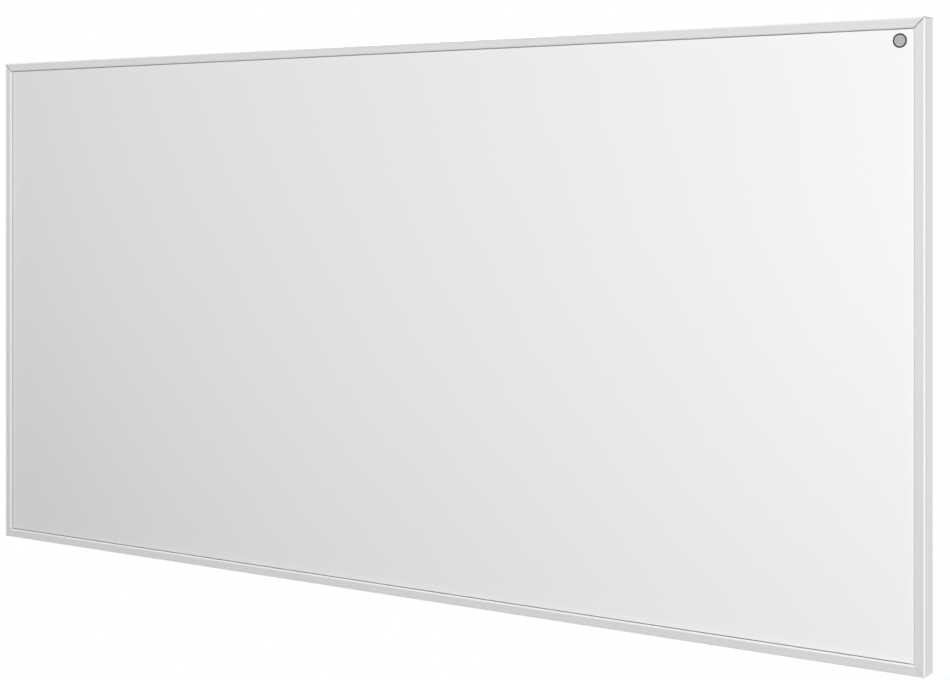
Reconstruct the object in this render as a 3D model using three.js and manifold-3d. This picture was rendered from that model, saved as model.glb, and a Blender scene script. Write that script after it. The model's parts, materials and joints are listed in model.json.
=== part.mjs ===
// A slim infrared panel heater: a coated radiating plate and its heating laminate in a mitred
// aluminium frame, hung by four keyhole brackets on four wall screws.
//
// Millimetres. X runs along the panel's width, Z is up, the wall is the plane y = 0 and the front
// faces -Y. The origin is the point of the wall behind the panel's centre.
// Inside the heater's own group, y is the depth behind the front face of the frame.

import * as THREE from "three";
import { mergeVertices } from "three/addons/utils/BufferGeometryUtils.js";
import Module from "manifold-3d";

const wasm = await Module();
wasm.setup();

// ------------------------------------------------------------------------------ overall sizes

const PANEL_WIDTH = 1200; // outside of the frame
const PANEL_HEIGHT = 600;
const FRAME_DEPTH = 22; // front face of the frame to its back edge
const WALL_GAP = 28; // back edge of the frame to the wall
const SEAT = 0.3; // clearance between pieces that touch

// ------------------------------------------------------------------------------ frame extrusion

const OUTER_WALL = 1.4;
const FRONT_WALL = 1.4;
const LIP_WIDTH = 10; // face of the frame, seen from the front
const LIP_DEPTH = 2; // how far the lip turns back towards the plate
const LIP_WALL = 1.2;
const EDGE_RADIUS = 1; // outer front edge
const LIP_RADIUS = 1; // inner front edge
const BACK_CHAMFER = 0.4;
const RIB_WALL = 1.2; // rib behind the laminate, and the key channel's lips
const KEY_RETURN = 2.2; // how far each lip closes the key channel
const FLANGE_WALL = 1.4; // rear flange that the cover is screwed to
const FLANGE_OVERHANG = 7; // how far the flange stands in past the key channel
const MITRE_GAP = 0.3;

// ------------------------------------------------------------------------------ corner keys

const KEY_ARM = 36; // from the corner of the frame to the end of an arm
const KEY_TOOTH = 0.8;
const KEY_PITCH = 4;

// ------------------------------------------------------------------------------ plate and layers

const SEAL_THICKNESS = 0.5;
const SEAL_PROUD = 0.5; // how far the seal shows past the lip, as a thin grey line
const PLATE_THICKNESS = 1;
const PLATE_CORNER = 1.5;
const EDGE_PLAY = 0.8; // room for the plate to grow in the groove when it is hot
const LAMINATE_THICKNESS = 1.6;
const BUS_BAR_WIDTH = 12;
const BUS_BAR_THICKNESS = 0.5;
const BUS_BAR_MARGIN = 14; // from the frame's inner rib to a bus bar
const FOIL_THICKNESS = 0.4;
const LEAD_SPACE = 5; // between the insulation and the rear cover, for the leads

// ------------------------------------------------------------------------------ rear cover

const COVER_THICKNESS = 0.6;
const COVER_PLAY = 0.5;
const COVER_CORNER = 2;
const BEAD_COUNT = 3; // pressed stiffening beads
const BEAD_PITCH = 90;
const BEAD_CREST = 4; // width of a bead's flat crest
const BEAD_SLOPE = 4; // width of each of its flanks
const BEAD_HEIGHT = 2;
const BEAD_MARGIN = 60; // from the frame's outside to a bead's end
const COVER_SCREW_RADIUS = 1.45;
const COVER_SCREW_LENGTH = 4;
const COVER_SCREW_POINT = 0.8;
const COVER_SCREW_HEAD_RADIUS = 2.9;
const COVER_SCREW_HEAD_HEIGHT = 1.9;
const SCREWS_PER_RAIL = 4;
const SCREWS_PER_STILE = 1;
const CORNER_TO_SCREW = 90;

// ------------------------------------------------------------------------------ hanging

const HANGER_FROM_SIDE = 180; // frame's side to the screw's axis
const HANGER_FROM_END = 100; // frame's top or bottom to the screw's axis
const LIFT_TRAVEL = 12; // from the seated screw to the middle of the entry hole
const WALL_SCREW_RADIUS = 2.5;
const WALL_SCREW_EMBEDDED = 45; // the length that is in the wall
const WALL_SCREW_TIP = 7;
const WALL_SCREW_THREAD_RADIUS = 2.25; // the threaded length, without its threads
const WALL_SCREW_HEAD_RADIUS = 5;
const WALL_SCREW_HEAD_HEIGHT = 3.2;
const SLOT_PLAY = 0.5;
const ENTRY_PLAY = 1.25;
const BRACKET_RISE = 9; // rear cover to the bracket's outer face
const BRACKET_SHEET = 1.5;
const BRACKET_BEND = 1; // inner bend radius
const BRACKET_HALF_HAT = 17;
const BRACKET_FLANGE = 15;
const BRACKET_MARGIN = 8; // steel above the slot and below the entry hole
const BRACKET_CORNER = 4;
const SPACER_RADIUS = 9;
const SPACER_FOOT_RADIUS = 12;
const SPACER_FOOT_HEIGHT = 2;
const SPACER_CHAMFER = 0.8;

// ------------------------------------------------------------------------------ junction box

const BOX_FROM_SIDE = 300; // frame's right side to the box's middle
const BOX_FROM_BOTTOM = 95; // frame's bottom to the box's middle
const BOX_WIDTH = 104;
const BOX_HEIGHT = 72;
const BOX_DEPTH = 18; // without its lid
const BOX_CORNER = 6;
const BOX_WALL = 2.2;
const BOX_FLOOR = 2;
const BOSS_RADIUS = 4;
const BOSS_INSET = 5.6; // from the box's outside to a boss's axis
const LID_THICKNESS = 2.4;
const LID_ROUND = 0.7;
const LID_TONGUE = 2;
const TONGUE_WALL = 1.2;
const LID_SCREW_RADIUS = 1.25;
const LID_SCREW_HEAD_RADIUS = 2.6;
const LID_SCREW_SUNK = 1.4; // depth of the counterbore
const LID_SCREW_LENGTH = 9;
const LID_SCREW_POINT = 1;
const WINDOW_WIDTH = 28; // for the leads, through the box's floor and the cover
const WINDOW_HEIGHT = 12;
const WINDOW_CORNER = 3;
const WINDOW_RISE = 17; // above the box's middle
const NOTCH_PLAY = 1; // between the lid's tongue and the gland's locknut
const BLOCK_RISE = -7;
const BLOCK_WIDTH = 30;
const BLOCK_HEIGHT = 16;
const BLOCK_DEPTH = 9;
const BLOCK_CORNER = 1;
const POLE_PITCH = 9.5;
const POLE_RADIUS = 3.2;
const POLE_HEIGHT = 2.5;
const POLE_WALL = 1;
const POLE_HOLE_RADIUS = 1.9;
const POLE_HOLE_DEPTH = 5;

// ------------------------------------------------------------------------------ cable gland

const GLAND_THREAD_RADIUS = 6;
const GLAND_BORE_RADIUS = 4.3;
const GLAND_FLATS = 15; // across the flats of its hexagons
const GLAND_FLANGE = 5;
const GLAND_STUB = 8; // threaded outer end, inside the dome nut
const GLAND_TAIL = 1.2; // thread left past the locknut
const LOCKNUT_HEIGHT = 4;
const SEAL_POCKET_RADIUS = 5.2;
const SEAL_BORE_RADIUS = 3.3;
const GLAND_SEAL_LENGTH = 7.5;
const GLAND_SEAL_TAPER = 0.8;
const DOME_LENGTH = 13;
const DOME_HEX = 7.5; // length of the dome nut's hexagon
const DOME_CHAMFER = 1; // cut of the hexagon's corners, before the dome
const DOME_END_RADIUS = 5.4;
const DOME_BORE_RADIUS = 3.7;
const DOME_CONE = 2.2; // length of the cone that squeezes the seal

// ------------------------------------------------------------------------------ electrics

const LEAD_DIAMETER = 2.6;
const LEAD_BEND = 4; // reach of a bend from its corner
const LEAD_STRAIGHT = 10; // run before a lead turns aside
const LEAD_HOLE_PLAY = 0.7; // round a lead's bend where it goes through the insulation
const LEAD_INSERTED = 3; // in the terminal block
const CUTOUT_RISE = 95; // junction box's middle to the lower cut-out
const CUTOUT_PITCH = 170;
const CUTOUT_CAP_RADIUS = 7;
const CUTOUT_CAP_HEIGHT = 2;
const CUTOUT_RIM_RADIUS = 9;
const CUTOUT_RIM_HEIGHT = 1;
const CUTOUT_BODY_RADIUS = 7.6;
const CUTOUT_HOLE_PLAY = 1;
const BLADE_PITCH = 10;
const BLADE_WIDTH = 6.3;
const BLADE_THICKNESS = 0.8;
const BLADE_CLEARANCE = 0.8; // blade's tip to the rear cover
const EARTH_ASIDE = 34; // from the box's middle to the earth stud
const EARTH_RISE = 48;
const EARTH_STUD_RADIUS = 2.5;
const EARTH_FLANGE_RADIUS = 4.5;
const EARTH_FLANGE_HEIGHT = 0.8;
const EARTH_NUT_FLATS = 8;
const EARTH_NUT_HEIGHT = 2.2;

// ------------------------------------------------------------------------------ faceting

const ARC = 3; // curveSegments of a shape: a quarter arc gets twice as many chords
const ROUND = 24;
const SMALL_ROUND = 16;
const TINY_ROUND = 10;
const EDGE_STEPS = 2;
const BEAD_STEPS = 3;
const DOME_STEPS = 3;
const LEAD_SIDES = 6;
const BEND_STEPS = 4;
const PAST = 1; // how far a cutting tool runs past the faces that it cuts
const SCREW_TIP_SHARE = 0.6; // a screw's blunt tip, of its radius
const SCREW_CROWN_SHARE = 0.7; // the flat crown of its head, of the head's radius

// ------------------------------------------------------------------------------ depths and places

const sealFront = LIP_DEPTH + SEAT;
const plateFront = sealFront + SEAL_THICKNESS + SEAT;
const laminateFront = plateFront + PLATE_THICKNESS + SEAT;
const ribFront = laminateFront + LAMINATE_THICKNESS + SEAT;
const ribBack = ribFront + RIB_WALL;
const busBarFront = ribFront;
const foilFront = busBarFront + BUS_BAR_THICKNESS + SEAT;
const matFront = foilFront + FOIL_THICKNESS + SEAT;
const coverBack = FRAME_DEPTH;
const coverFront = coverBack - COVER_THICKNESS;
const flangeBack = coverFront - SEAT;
const flangeFront = flangeBack - FLANGE_WALL;
const matBack = coverFront - LEAD_SPACE;
const leadDepth = matBack + SEAT + LEAD_DIAMETER / 2;

const halfWidth = PANEL_WIDTH / 2;
const halfHeight = PANEL_HEIGHT / 2;
const channelInside = LIP_WIDTH - RIB_WALL; // outside of the frame to the back of the channel's lips
const flangeReach = LIP_WIDTH + FLANGE_OVERHANG;
const screwInset = LIP_WIDTH + FLANGE_OVERHANG / 2;
const plateInset = OUTER_WALL + EDGE_PLAY;
const matInset = LIP_WIDTH + SEAT;
const busBarInset = LIP_WIDTH + BUS_BAR_MARGIN;
const busBarRise = halfHeight - busBarInset - BUS_BAR_WIDTH / 2;

const hangerX = halfWidth - HANGER_FROM_SIDE;
const hangerZ = halfHeight - HANGER_FROM_END;
const boxX = halfWidth - BOX_FROM_SIDE;
const boxZ = BOX_FROM_BOTTOM - halfHeight;
const lowerCutoutZ = boxZ + CUTOUT_RISE;
const upperCutoutZ = lowerCutoutZ + CUTOUT_PITCH;
const leadHoleRadius = LEAD_BEND + LEAD_DIAMETER / 2 + LEAD_HOLE_PLAY;
const besideBlade = (BLADE_PITCH + BLADE_THICKNESS + LEAD_DIAMETER) / 2 + SEAT; // to a lead's middle

// The four sides of the frame, as quarter turns about Y from the top one.
const SIDES = [
  { name: "frame_top_rail", turns: 0, length: PANEL_WIDTH, reach: halfHeight, screws: SCREWS_PER_RAIL },
  { name: "frame_right_stile", turns: 1, length: PANEL_HEIGHT, reach: halfWidth, screws: SCREWS_PER_STILE },
  { name: "frame_bottom_rail", turns: 2, length: PANEL_WIDTH, reach: halfHeight, screws: SCREWS_PER_RAIL },
  { name: "frame_left_stile", turns: 3, length: PANEL_HEIGHT, reach: halfWidth, screws: SCREWS_PER_STILE },
];

const CORNERS = [
  { name: "top_left", x: -1, z: 1 },
  { name: "top_right", x: 1, z: 1 },
  { name: "bottom_right", x: 1, z: -1 },
  { name: "bottom_left", x: -1, z: -1 },
];

// ------------------------------------------------------------------------------ finishes

function finish(color, roughness, metalness = 0) {
  return new THREE.MeshStandardMaterial({ color, roughness, metalness, flatShading: true });
}

const FINISH = {
  frontCoat: finish(0xeeeeef, 0.45),
  frame: finish(0xd9dadc, 0.35, 0.6),
  cover: finish(0xdcdddf, 0.5, 0.1),
  zinc: finish(0xb4b8bc, 0.4, 0.9),
  seal: finish(0x8a8c8e, 0.8),
  laminate: finish(0x2c2b28, 0.6),
  copper: finish(0xb8703f, 0.35, 1),
  foil: finish(0xd6d8da, 0.3, 1),
  insulation: finish(0xe9e4d6, 0.95),
  phenolic: finish(0x35302c, 0.6),
  box: finish(0xe4e4e2, 0.5),
  gland: finish(0x55585b, 0.5),
  rubber: finish(0x1f1f20, 0.8),
  spacer: finish(0xdadad6, 0.5),
  live: finish(0x6b3f24, 0.5),
  neutral: finish(0x2f5fa8, 0.5),
  earth: finish(0x7da02c, 0.5),
};

// ------------------------------------------------------------------------------ solid helpers

// A closed geometry as a solid that can be joined and cut.
function solid(geometry) {
  const bare = geometry.clone();
  bare.deleteAttribute("normal");
  bare.deleteAttribute("uv");
  const merged = mergeVertices(bare, 1e-4);
  const corners = merged.index.array;
  const kept = [];
  for (let i = 0; i < corners.length; i += 3) {
    const [a, b, c] = corners.slice(i, i + 3);
    if (a !== b && b !== c && c !== a) kept.push(a, b, c);
  }
  return new wasm.Manifold(
    new wasm.Mesh({
      numProp: 3,
      vertProperties: merged.attributes.position.array,
      triVerts: new Uint32Array(kept),
    }),
  );
}

function geometryOf(body) {
  const mesh = body.getMesh();
  const geometry = new THREE.BufferGeometry();
  geometry.setAttribute("position", new THREE.BufferAttribute(mesh.vertProperties, 3));
  geometry.setIndex(new THREE.BufferAttribute(mesh.triVerts, 1));
  geometry.computeVertexNormals();
  return geometry;
}

function piece(name, body, material) {
  const mesh = new THREE.Mesh(geometryOf(body), material);
  mesh.name = name;
  return mesh;
}

function rectangle(width, height, radius) {
  const x = width / 2 - radius;
  const z = height / 2 - radius;
  const outline = new THREE.Shape();
  outline.absarc(x, z, radius, 0, Math.PI / 2);
  outline.absarc(-x, z, radius, Math.PI / 2, Math.PI);
  outline.absarc(-x, -z, radius, Math.PI, 1.5 * Math.PI);
  outline.absarc(x, -z, radius, 1.5 * Math.PI, 2 * Math.PI);
  return outline;
}

// A rectangle with half-round ends, along X.
function stadium(length, width) {
  const outline = new THREE.Shape();
  outline.absarc(length / 2, 0, width / 2, -Math.PI / 2, Math.PI / 2);
  outline.absarc(-length / 2, 0, width / 2, Math.PI / 2, 1.5 * Math.PI);
  return outline;
}

// An outline in X and Z, made solid from the depth front to the depth back.
function slab(outline, front, back) {
  const geometry = new THREE.ExtrudeGeometry(outline, {
    depth: back - front,
    bevelEnabled: false,
    curveSegments: ARC,
  });
  return solid(geometry.rotateX(Math.PI / 2).translate(0, back, 0));
}

// The same with its edges rounded, inside the same outline and depths.
function roundedSlab(outline, front, back, radius) {
  const geometry = new THREE.ExtrudeGeometry(outline, {
    depth: back - front - 2 * radius,
    bevelThickness: radius,
    bevelSize: radius,
    bevelOffset: -radius,
    bevelSegments: EDGE_STEPS,
    curveSegments: ARC,
  });
  return solid(geometry.rotateX(Math.PI / 2).translate(0, back - radius, 0));
}

// A cylinder along Y from the depth front to the depth back.
function rod(radius, front, back, sides, x = 0, z = 0) {
  const geometry = new THREE.CylinderGeometry(radius, radius, back - front, sides);
  return solid(geometry.translate(x, (front + back) / 2, z));
}

// A cylinder along Z; six sides give a hexagon with two flats that face the wall.
function upright(radius, low, high, sides) {
  const geometry = new THREE.CylinderGeometry(radius, radius, high - low, sides);
  geometry.rotateY(Math.PI / sides).rotateX(Math.PI / 2);
  return solid(geometry.translate(0, 0, (low + high) / 2));
}

// A closed profile of [radius, height] pairs, revolved about Y.
function turned(profile, sides) {
  const points = profile.map(([radius, height]) => new THREE.Vector2(radius, height));
  if (THREE.ShapeUtils.isClockWise(points)) points.reverse();
  return solid(new THREE.LatheGeometry([...points, points[0]], sides));
}

// A screw along Y: its point at the low end, and the underside of its domed head at the depth under.
function screwBody({ under, radius, length, point, headRadius, headHeight }) {
  const profile = [
    [0, under - length],
    [radius * SCREW_TIP_SHARE, under - length],
    [radius, under - length + point],
    [radius, under],
    [headRadius, under],
    [headRadius, under + headHeight / 2],
    [headRadius * SCREW_CROWN_SHARE, under + headHeight],
    [0, under + headHeight],
  ];
  return turned(profile, TINY_ROUND);
}

function hexagonRadius(flats) {
  return flats / 2 / Math.cos(Math.PI / 6);
}

function joined(bodies) {
  return bodies.reduce((sum, body) => sum.add(body));
}

function less(body, tools) {
  return tools.reduce((rest, tool) => rest.subtract(tool), body);
}

// ------------------------------------------------------------------------------ mitred frame

// The extrusion's section: x in from the outside, y back from the front.
function frameSection() {
  const section = new THREE.Shape();
  section.absarc(EDGE_RADIUS, EDGE_RADIUS, EDGE_RADIUS, Math.PI, 1.5 * Math.PI);
  section.absarc(LIP_WIDTH - LIP_RADIUS, LIP_RADIUS, LIP_RADIUS, 1.5 * Math.PI, 2 * Math.PI);
  const corners = [
    // the lip and the groove that holds the plate and the laminate
    [LIP_WIDTH, LIP_DEPTH],
    [LIP_WIDTH - LIP_WALL, LIP_DEPTH],
    [LIP_WIDTH - LIP_WALL, FRONT_WALL],
    [OUTER_WALL, FRONT_WALL],
    [OUTER_WALL, ribFront],
    [LIP_WIDTH, ribFront],
    // the key channel, half closed by its two lips
    [LIP_WIDTH, ribBack + KEY_RETURN],
    [channelInside, ribBack + KEY_RETURN],
    [channelInside, ribBack],
    [OUTER_WALL, ribBack],
    [OUTER_WALL, flangeFront],
    [channelInside, flangeFront],
    [channelInside, flangeFront - KEY_RETURN],
    [LIP_WIDTH, flangeFront - KEY_RETURN],
    [LIP_WIDTH, flangeFront],
    // the rear flange and the rebate for the cover
    [flangeReach, flangeFront],
    [flangeReach, flangeBack],
    [OUTER_WALL, flangeBack],
    [OUTER_WALL, coverBack - BACK_CHAMFER],
    [OUTER_WALL - BACK_CHAMFER, coverBack],
    [BACK_CHAMFER, coverBack],
    [0, coverBack - BACK_CHAMFER],
  ];
  corners.forEach(([x, y]) => section.lineTo(x, y));
  return section;
}

// A length of the extrusion, along X with its outside at the top, cut at 45 degrees at both ends.
function mitredRail(length) {
  const geometry = new THREE.ExtrudeGeometry(frameSection(), {
    depth: length,
    bevelEnabled: false,
    curveSegments: ARC,
  });
  const vertices = geometry.attributes.position;
  for (let i = 0; i < vertices.count; i++) {
    const trim = vertices.getX(i) + MITRE_GAP * Math.SQRT1_2;
    const end = vertices.getZ(i) > 0 ? 1 : -1;
    vertices.setZ(i, end * (length / 2 - trim));
  }
  return solid(geometry.rotateY(Math.PI / 2));
}

// Places along one side of the frame where the cover's screws go.
function screwPlaces({ length, screws }) {
  if (screws === 1) return [0];
  const span = length - 2 * CORNER_TO_SCREW;
  return Array.from({ length: screws }, (_, i) => (i / (screws - 1) - 0.5) * span);
}

function screwHole(x, z) {
  return rod(COVER_SCREW_RADIUS + SEAT, ribBack, coverBack + PAST, TINY_ROUND, x, z);
}

// A group turned so that its +Z points out of the panel through one side of the frame.
function sideHolder(side) {
  const holder = new THREE.Group();
  holder.rotation.y = (side.turns * Math.PI) / 2;
  return holder;
}

function mitredFrame() {
  const frame = new THREE.Group();
  for (const side of SIDES) {
    const holes = screwPlaces(side).map((x) => screwHole(x, -screwInset));
    const rail = piece(side.name, less(mitredRail(side.length), holes), FINISH.frame);
    rail.position.z = side.reach;
    frame.add(sideHolder(side).add(rail));
  }
  return frame;
}

// An L with barbed inner edges, its outer corner at the frame's outer corner, arms along +X and +Z.
function cornerKeyOutline() {
  const near = OUTER_WALL + SEAT;
  const far = channelInside - SEAT;
  const teeth = Math.floor((KEY_ARM - far - KEY_TOOTH) / KEY_PITCH);
  const arm = [];
  for (let i = 0; i < teeth; i++) {
    const tip = KEY_ARM - i * KEY_PITCH;
    arm.push([tip, far - KEY_TOOTH], [tip - KEY_PITCH + KEY_TOOTH, far]);
    arm.push([tip - KEY_PITCH, far]);
  }
  const other = arm.map(([x, z]) => [z, x]).reverse();
  const points = [[near, near], [KEY_ARM, near], ...arm, [far, far], ...other, [near, KEY_ARM]];
  return new THREE.Shape(points.map(([x, z]) => new THREE.Vector2(x, z)));
}

function cornerKeys() {
  const keys = new THREE.Group();
  const body = slab(cornerKeyOutline(), ribBack + SEAT, flangeFront - SEAT);
  CORNERS.forEach((corner, i) => {
    const key = piece("corner_key_" + corner.name, body, FINISH.zinc);
    key.rotation.y = ((i + 1) * Math.PI) / 2;
    key.position.set(corner.x * halfWidth, 0, corner.z * halfHeight);
    keys.add(key);
  });
  return keys;
}

// ------------------------------------------------------------------------------ plate and layers

function panelOutline(inset, radius) {
  return rectangle(PANEL_WIDTH - 2 * inset, PANEL_HEIGHT - 2 * inset, radius);
}

function frontPanel() {
  const sheet = slab(panelOutline(plateInset, PLATE_CORNER), plateFront, plateFront + PLATE_THICKNESS);
  return piece("front_panel", sheet, FINISH.frontCoat);
}

function panelEdgeSeal() {
  const outline = panelOutline(plateInset, PLATE_CORNER);
  outline.holes.push(panelOutline(LIP_WIDTH + SEAL_PROUD, PLATE_CORNER));
  return piece("panel_edge_seal", slab(outline, sealFront, sealFront + SEAL_THICKNESS), FINISH.seal);
}

function heatingLaminate() {
  const back = laminateFront + LAMINATE_THICKNESS;
  const board = slab(panelOutline(plateInset, PLATE_CORNER), laminateFront, back);
  return piece("heating_laminate", board, FINISH.laminate);
}

function busBars() {
  const bars = new THREE.Group();
  const outline = stadium(PANEL_WIDTH - 2 * busBarInset - BUS_BAR_WIDTH, BUS_BAR_WIDTH);
  const strip = slab(outline, busBarFront, busBarFront + BUS_BAR_THICKNESS);
  for (const [place, sign] of [["top", 1], ["bottom", -1]]) {
    const bar = piece("bus_bar_" + place, strip, FINISH.copper);
    bar.position.z = sign * busBarRise;
    bars.add(bar);
  }
  return bars;
}

// Holes through the foil and the insulation, for the cut-outs and for the leads to the bus bars.
function layerHoles() {
  const cutout = CUTOUT_RIM_RADIUS + CUTOUT_HOLE_PLAY;
  return [
    rod(cutout, busBarFront, coverFront, ROUND, boxX, lowerCutoutZ),
    rod(cutout, busBarFront, coverFront, ROUND, boxX, upperCutoutZ),
    rod(leadHoleRadius, busBarFront, coverFront, SMALL_ROUND, boxX - besideBlade, busBarRise),
    rod(leadHoleRadius, busBarFront, coverFront, SMALL_ROUND, boxX, -busBarRise),
  ];
}

function reflectorFoil() {
  const sheet = slab(panelOutline(matInset, PLATE_CORNER), foilFront, foilFront + FOIL_THICKNESS);
  return piece("reflector_foil", less(sheet, layerHoles()), FINISH.foil);
}

function insulationMat() {
  const mat = slab(panelOutline(matInset, PLATE_CORNER), matFront, matBack);
  return piece("insulation_mat", less(mat, layerHoles()), FINISH.insulation);
}

// ------------------------------------------------------------------------------ thermal cut-outs

// A bimetal cut-out: its cap is on the laminate, its two blades point at the rear cover.
function cutoutBody() {
  const rim = busBarFront + CUTOUT_CAP_HEIGHT;
  const bodyFront = rim + CUTOUT_RIM_HEIGHT;
  const profile = [
    [0, busBarFront],
    [CUTOUT_CAP_RADIUS, busBarFront],
    [CUTOUT_CAP_RADIUS, rim],
    [CUTOUT_RIM_RADIUS, rim],
    [CUTOUT_RIM_RADIUS, bodyFront],
    [CUTOUT_BODY_RADIUS, bodyFront],
    [CUTOUT_BODY_RADIUS, matBack - SEAT],
    [0, matBack - SEAT],
  ];
  const blades = [-1, 1].map((side) => {
    const height = coverFront - BLADE_CLEARANCE - bodyFront;
    const blade = new THREE.BoxGeometry(BLADE_THICKNESS, height, BLADE_WIDTH);
    return solid(blade.translate((side * BLADE_PITCH) / 2, bodyFront + height / 2, 0));
  });
  return joined([turned(profile, ROUND), ...blades]);
}

function thermalCutouts() {
  const group = new THREE.Group();
  const body = cutoutBody();
  for (const [place, z] of [["lower", lowerCutoutZ], ["upper", upperCutoutZ]]) {
    const cutout = piece("thermal_cutout_" + place, body, FINISH.phenolic);
    cutout.position.set(boxX, 0, z);
    group.add(cutout);
  }
  return group;
}

// ------------------------------------------------------------------------------ internal leads

// A route of straight runs joined by round bends, with its sections only where it bends.
class BentRoute extends THREE.Curve {
  constructor(corners, reach) {
    super();
    const bends = corners.slice(1, -1).flatMap((corner, i) => {
      const before = corners[i].clone().sub(corner);
      const after = corners[i + 2].clone().sub(corner);
      const room = Math.min(reach, before.length() / 2, after.length() / 2);
      return new THREE.QuadraticBezierCurve3(
        before.setLength(room).add(corner),
        corner,
        after.setLength(room).add(corner),
      ).getPoints(BEND_STEPS);
    });
    this.stations = [corners[0], ...bends, corners.at(-1)];
  }

  getPointAt(share) {
    return this.stations[Math.round(share * (this.stations.length - 1))].clone();
  }

  getTangentAt(share) {
    const i = Math.round(share * (this.stations.length - 1));
    const before = this.stations[Math.max(i - 1, 0)];
    const after = this.stations[Math.min(i + 1, this.stations.length - 1)];
    return after.clone().sub(before).normalize();
  }
}

// A lead through corners of [x, depth, z].
function lead(name, corners, material) {
  const route = new BentRoute(corners.map((corner) => new THREE.Vector3(...corner)), LEAD_BEND);
  const ring = Array.from({ length: LEAD_SIDES }, (_, i) => {
    const angle = (2 * Math.PI * i) / LEAD_SIDES;
    return new THREE.Vector2(Math.cos(angle), Math.sin(angle)).multiplyScalar(LEAD_DIAMETER / 2);
  });
  const tube = new THREE.ExtrudeGeometry(new THREE.Shape(ring), {
    steps: route.stations.length - 1,
    bevelEnabled: false,
    extrudePath: route,
  });
  return piece(name, solid(tube), material);
}

function internalLeads() {
  const inBlock = FRAME_DEPTH + SEAT + BOX_FLOOR + SEAT + BLOCK_DEPTH / 2;
  const blockTop = boxZ + BLOCK_RISE + BLOCK_HEIGHT / 2;
  const windowZ = boxZ + WINDOW_RISE;
  const overlap = BLADE_WIDTH / 2;
  const leftOfBlades = boxX - besideBlade;
  const rightOfBlades = boxX + besideBlade;
  const nextToStud = boxX + EARTH_ASIDE - hexagonRadius(EARTH_NUT_FLATS) - SEAT - LEAD_DIAMETER / 2;
  const studZ = boxZ + EARTH_RISE;

  // up out of the block, back through the window in the box's floor, and onto the insulation
  const fromBlock = (x) => [
    [x, inBlock, blockTop - LEAD_INSERTED],
    [x, inBlock, windowZ],
    [x, leadDepth, windowZ],
  ];
  // off the insulation and down through its hole to a bus bar
  const toBusBar = (x, z) => [
    [x, leadDepth, z],
    [x, busBarFront + BUS_BAR_THICKNESS + SEAT, z],
  ];

  const live = [
    ...fromBlock(boxX - POLE_PITCH),
    [boxX - POLE_PITCH, leadDepth, windowZ + LEAD_STRAIGHT],
    [leftOfBlades, leadDepth, lowerCutoutZ - 2 * LEAD_STRAIGHT],
    [leftOfBlades, leadDepth, lowerCutoutZ + overlap],
  ];
  const link = [
    [rightOfBlades, leadDepth, lowerCutoutZ - overlap],
    [rightOfBlades, leadDepth, upperCutoutZ + overlap],
  ];
  const feed = [[leftOfBlades, leadDepth, upperCutoutZ - overlap], ...toBusBar(leftOfBlades, busBarRise)];
  const neutral = [...fromBlock(boxX), ...toBusBar(boxX, -busBarRise)];
  const earth = [
    ...fromBlock(boxX + POLE_PITCH),
    [boxX + POLE_PITCH, leadDepth, windowZ + LEAD_STRAIGHT],
    [nextToStud, leadDepth, studZ - LEAD_STRAIGHT],
    [nextToStud, leadDepth, studZ + EARTH_NUT_FLATS / 2],
  ];
  const group = new THREE.Group();
  group.add(lead("live_lead", live, FINISH.live));
  group.add(lead("link_lead", link, FINISH.live));
  group.add(lead("feed_lead", feed, FINISH.live));
  group.add(lead("neutral_lead", neutral, FINISH.neutral));
  group.add(lead("earth_lead", earth, FINISH.earth));
  return group;
}

// ------------------------------------------------------------------------------ earth point

function earthPoint() {
  const group = new THREE.Group();
  const base = flangeBack;
  const flange = rod(EARTH_FLANGE_RADIUS, base - EARTH_FLANGE_HEIGHT, base, SMALL_ROUND);
  const stud = rod(EARTH_STUD_RADIUS, matBack + SEAT, base, SMALL_ROUND).add(flange);
  group.add(piece("earth_stud", stud, FINISH.zinc));

  const nutBack = base - EARTH_FLANGE_HEIGHT - SEAT;
  const hexagon = rod(hexagonRadius(EARTH_NUT_FLATS), nutBack - EARTH_NUT_HEIGHT, nutBack, 6);
  const bore = rod(EARTH_STUD_RADIUS + SEAT, nutBack - EARTH_NUT_HEIGHT - PAST, nutBack + PAST, SMALL_ROUND);
  group.add(piece("earth_nut", hexagon.subtract(bore), FINISH.zinc));
  group.position.set(boxX + EARTH_ASIDE, 0, boxZ + EARTH_RISE);
  return group;
}

// ------------------------------------------------------------------------------ rear cover

// The pillow that a bead's punch leaves: widest at the given depth, flat on its crest.
function beadPillow(depth, z) {
  const length = PANEL_WIDTH - 2 * BEAD_MARGIN - BEAD_CREST - 2 * BEAD_SLOPE;
  const geometry = new THREE.ExtrudeGeometry(stadium(length, BEAD_CREST), {
    depth: 0,
    bevelThickness: BEAD_HEIGHT,
    bevelSize: BEAD_SLOPE,
    bevelSegments: BEAD_STEPS,
    curveSegments: ARC,
  });
  return solid(geometry.rotateX(Math.PI / 2).translate(0, depth, z));
}

function leadWindow(front, back) {
  return slab(rectangle(WINDOW_WIDTH, WINDOW_HEIGHT, WINDOW_CORNER), front, back);
}

function rearCover() {
  const sheet = slab(panelOutline(OUTER_WALL + COVER_PLAY, COVER_CORNER), coverFront, coverBack);
  const rises = Array.from({ length: BEAD_COUNT }, (_, i) => (i - (BEAD_COUNT - 1) / 2) * BEAD_PITCH);
  const pressed = joined([sheet, ...rises.map((z) => beadPillow(coverBack, z))]);
  const screwHoles = SIDES.flatMap((side) =>
    screwPlaces(side).map((along) => {
      const place = new THREE.Vector3(along, 0, side.reach - screwInset);
      place.applyAxisAngle(new THREE.Vector3(0, 1, 0), (side.turns * Math.PI) / 2);
      return screwHole(place.x, place.z);
    }),
  );
  const window = leadWindow(coverFront - PAST, coverBack + PAST).translate(boxX, 0, boxZ + WINDOW_RISE);
  const cover = less(pressed, [...rises.map((z) => beadPillow(coverFront, z)), ...screwHoles, window]);
  return piece("rear_cover", cover, FINISH.cover);
}

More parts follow.
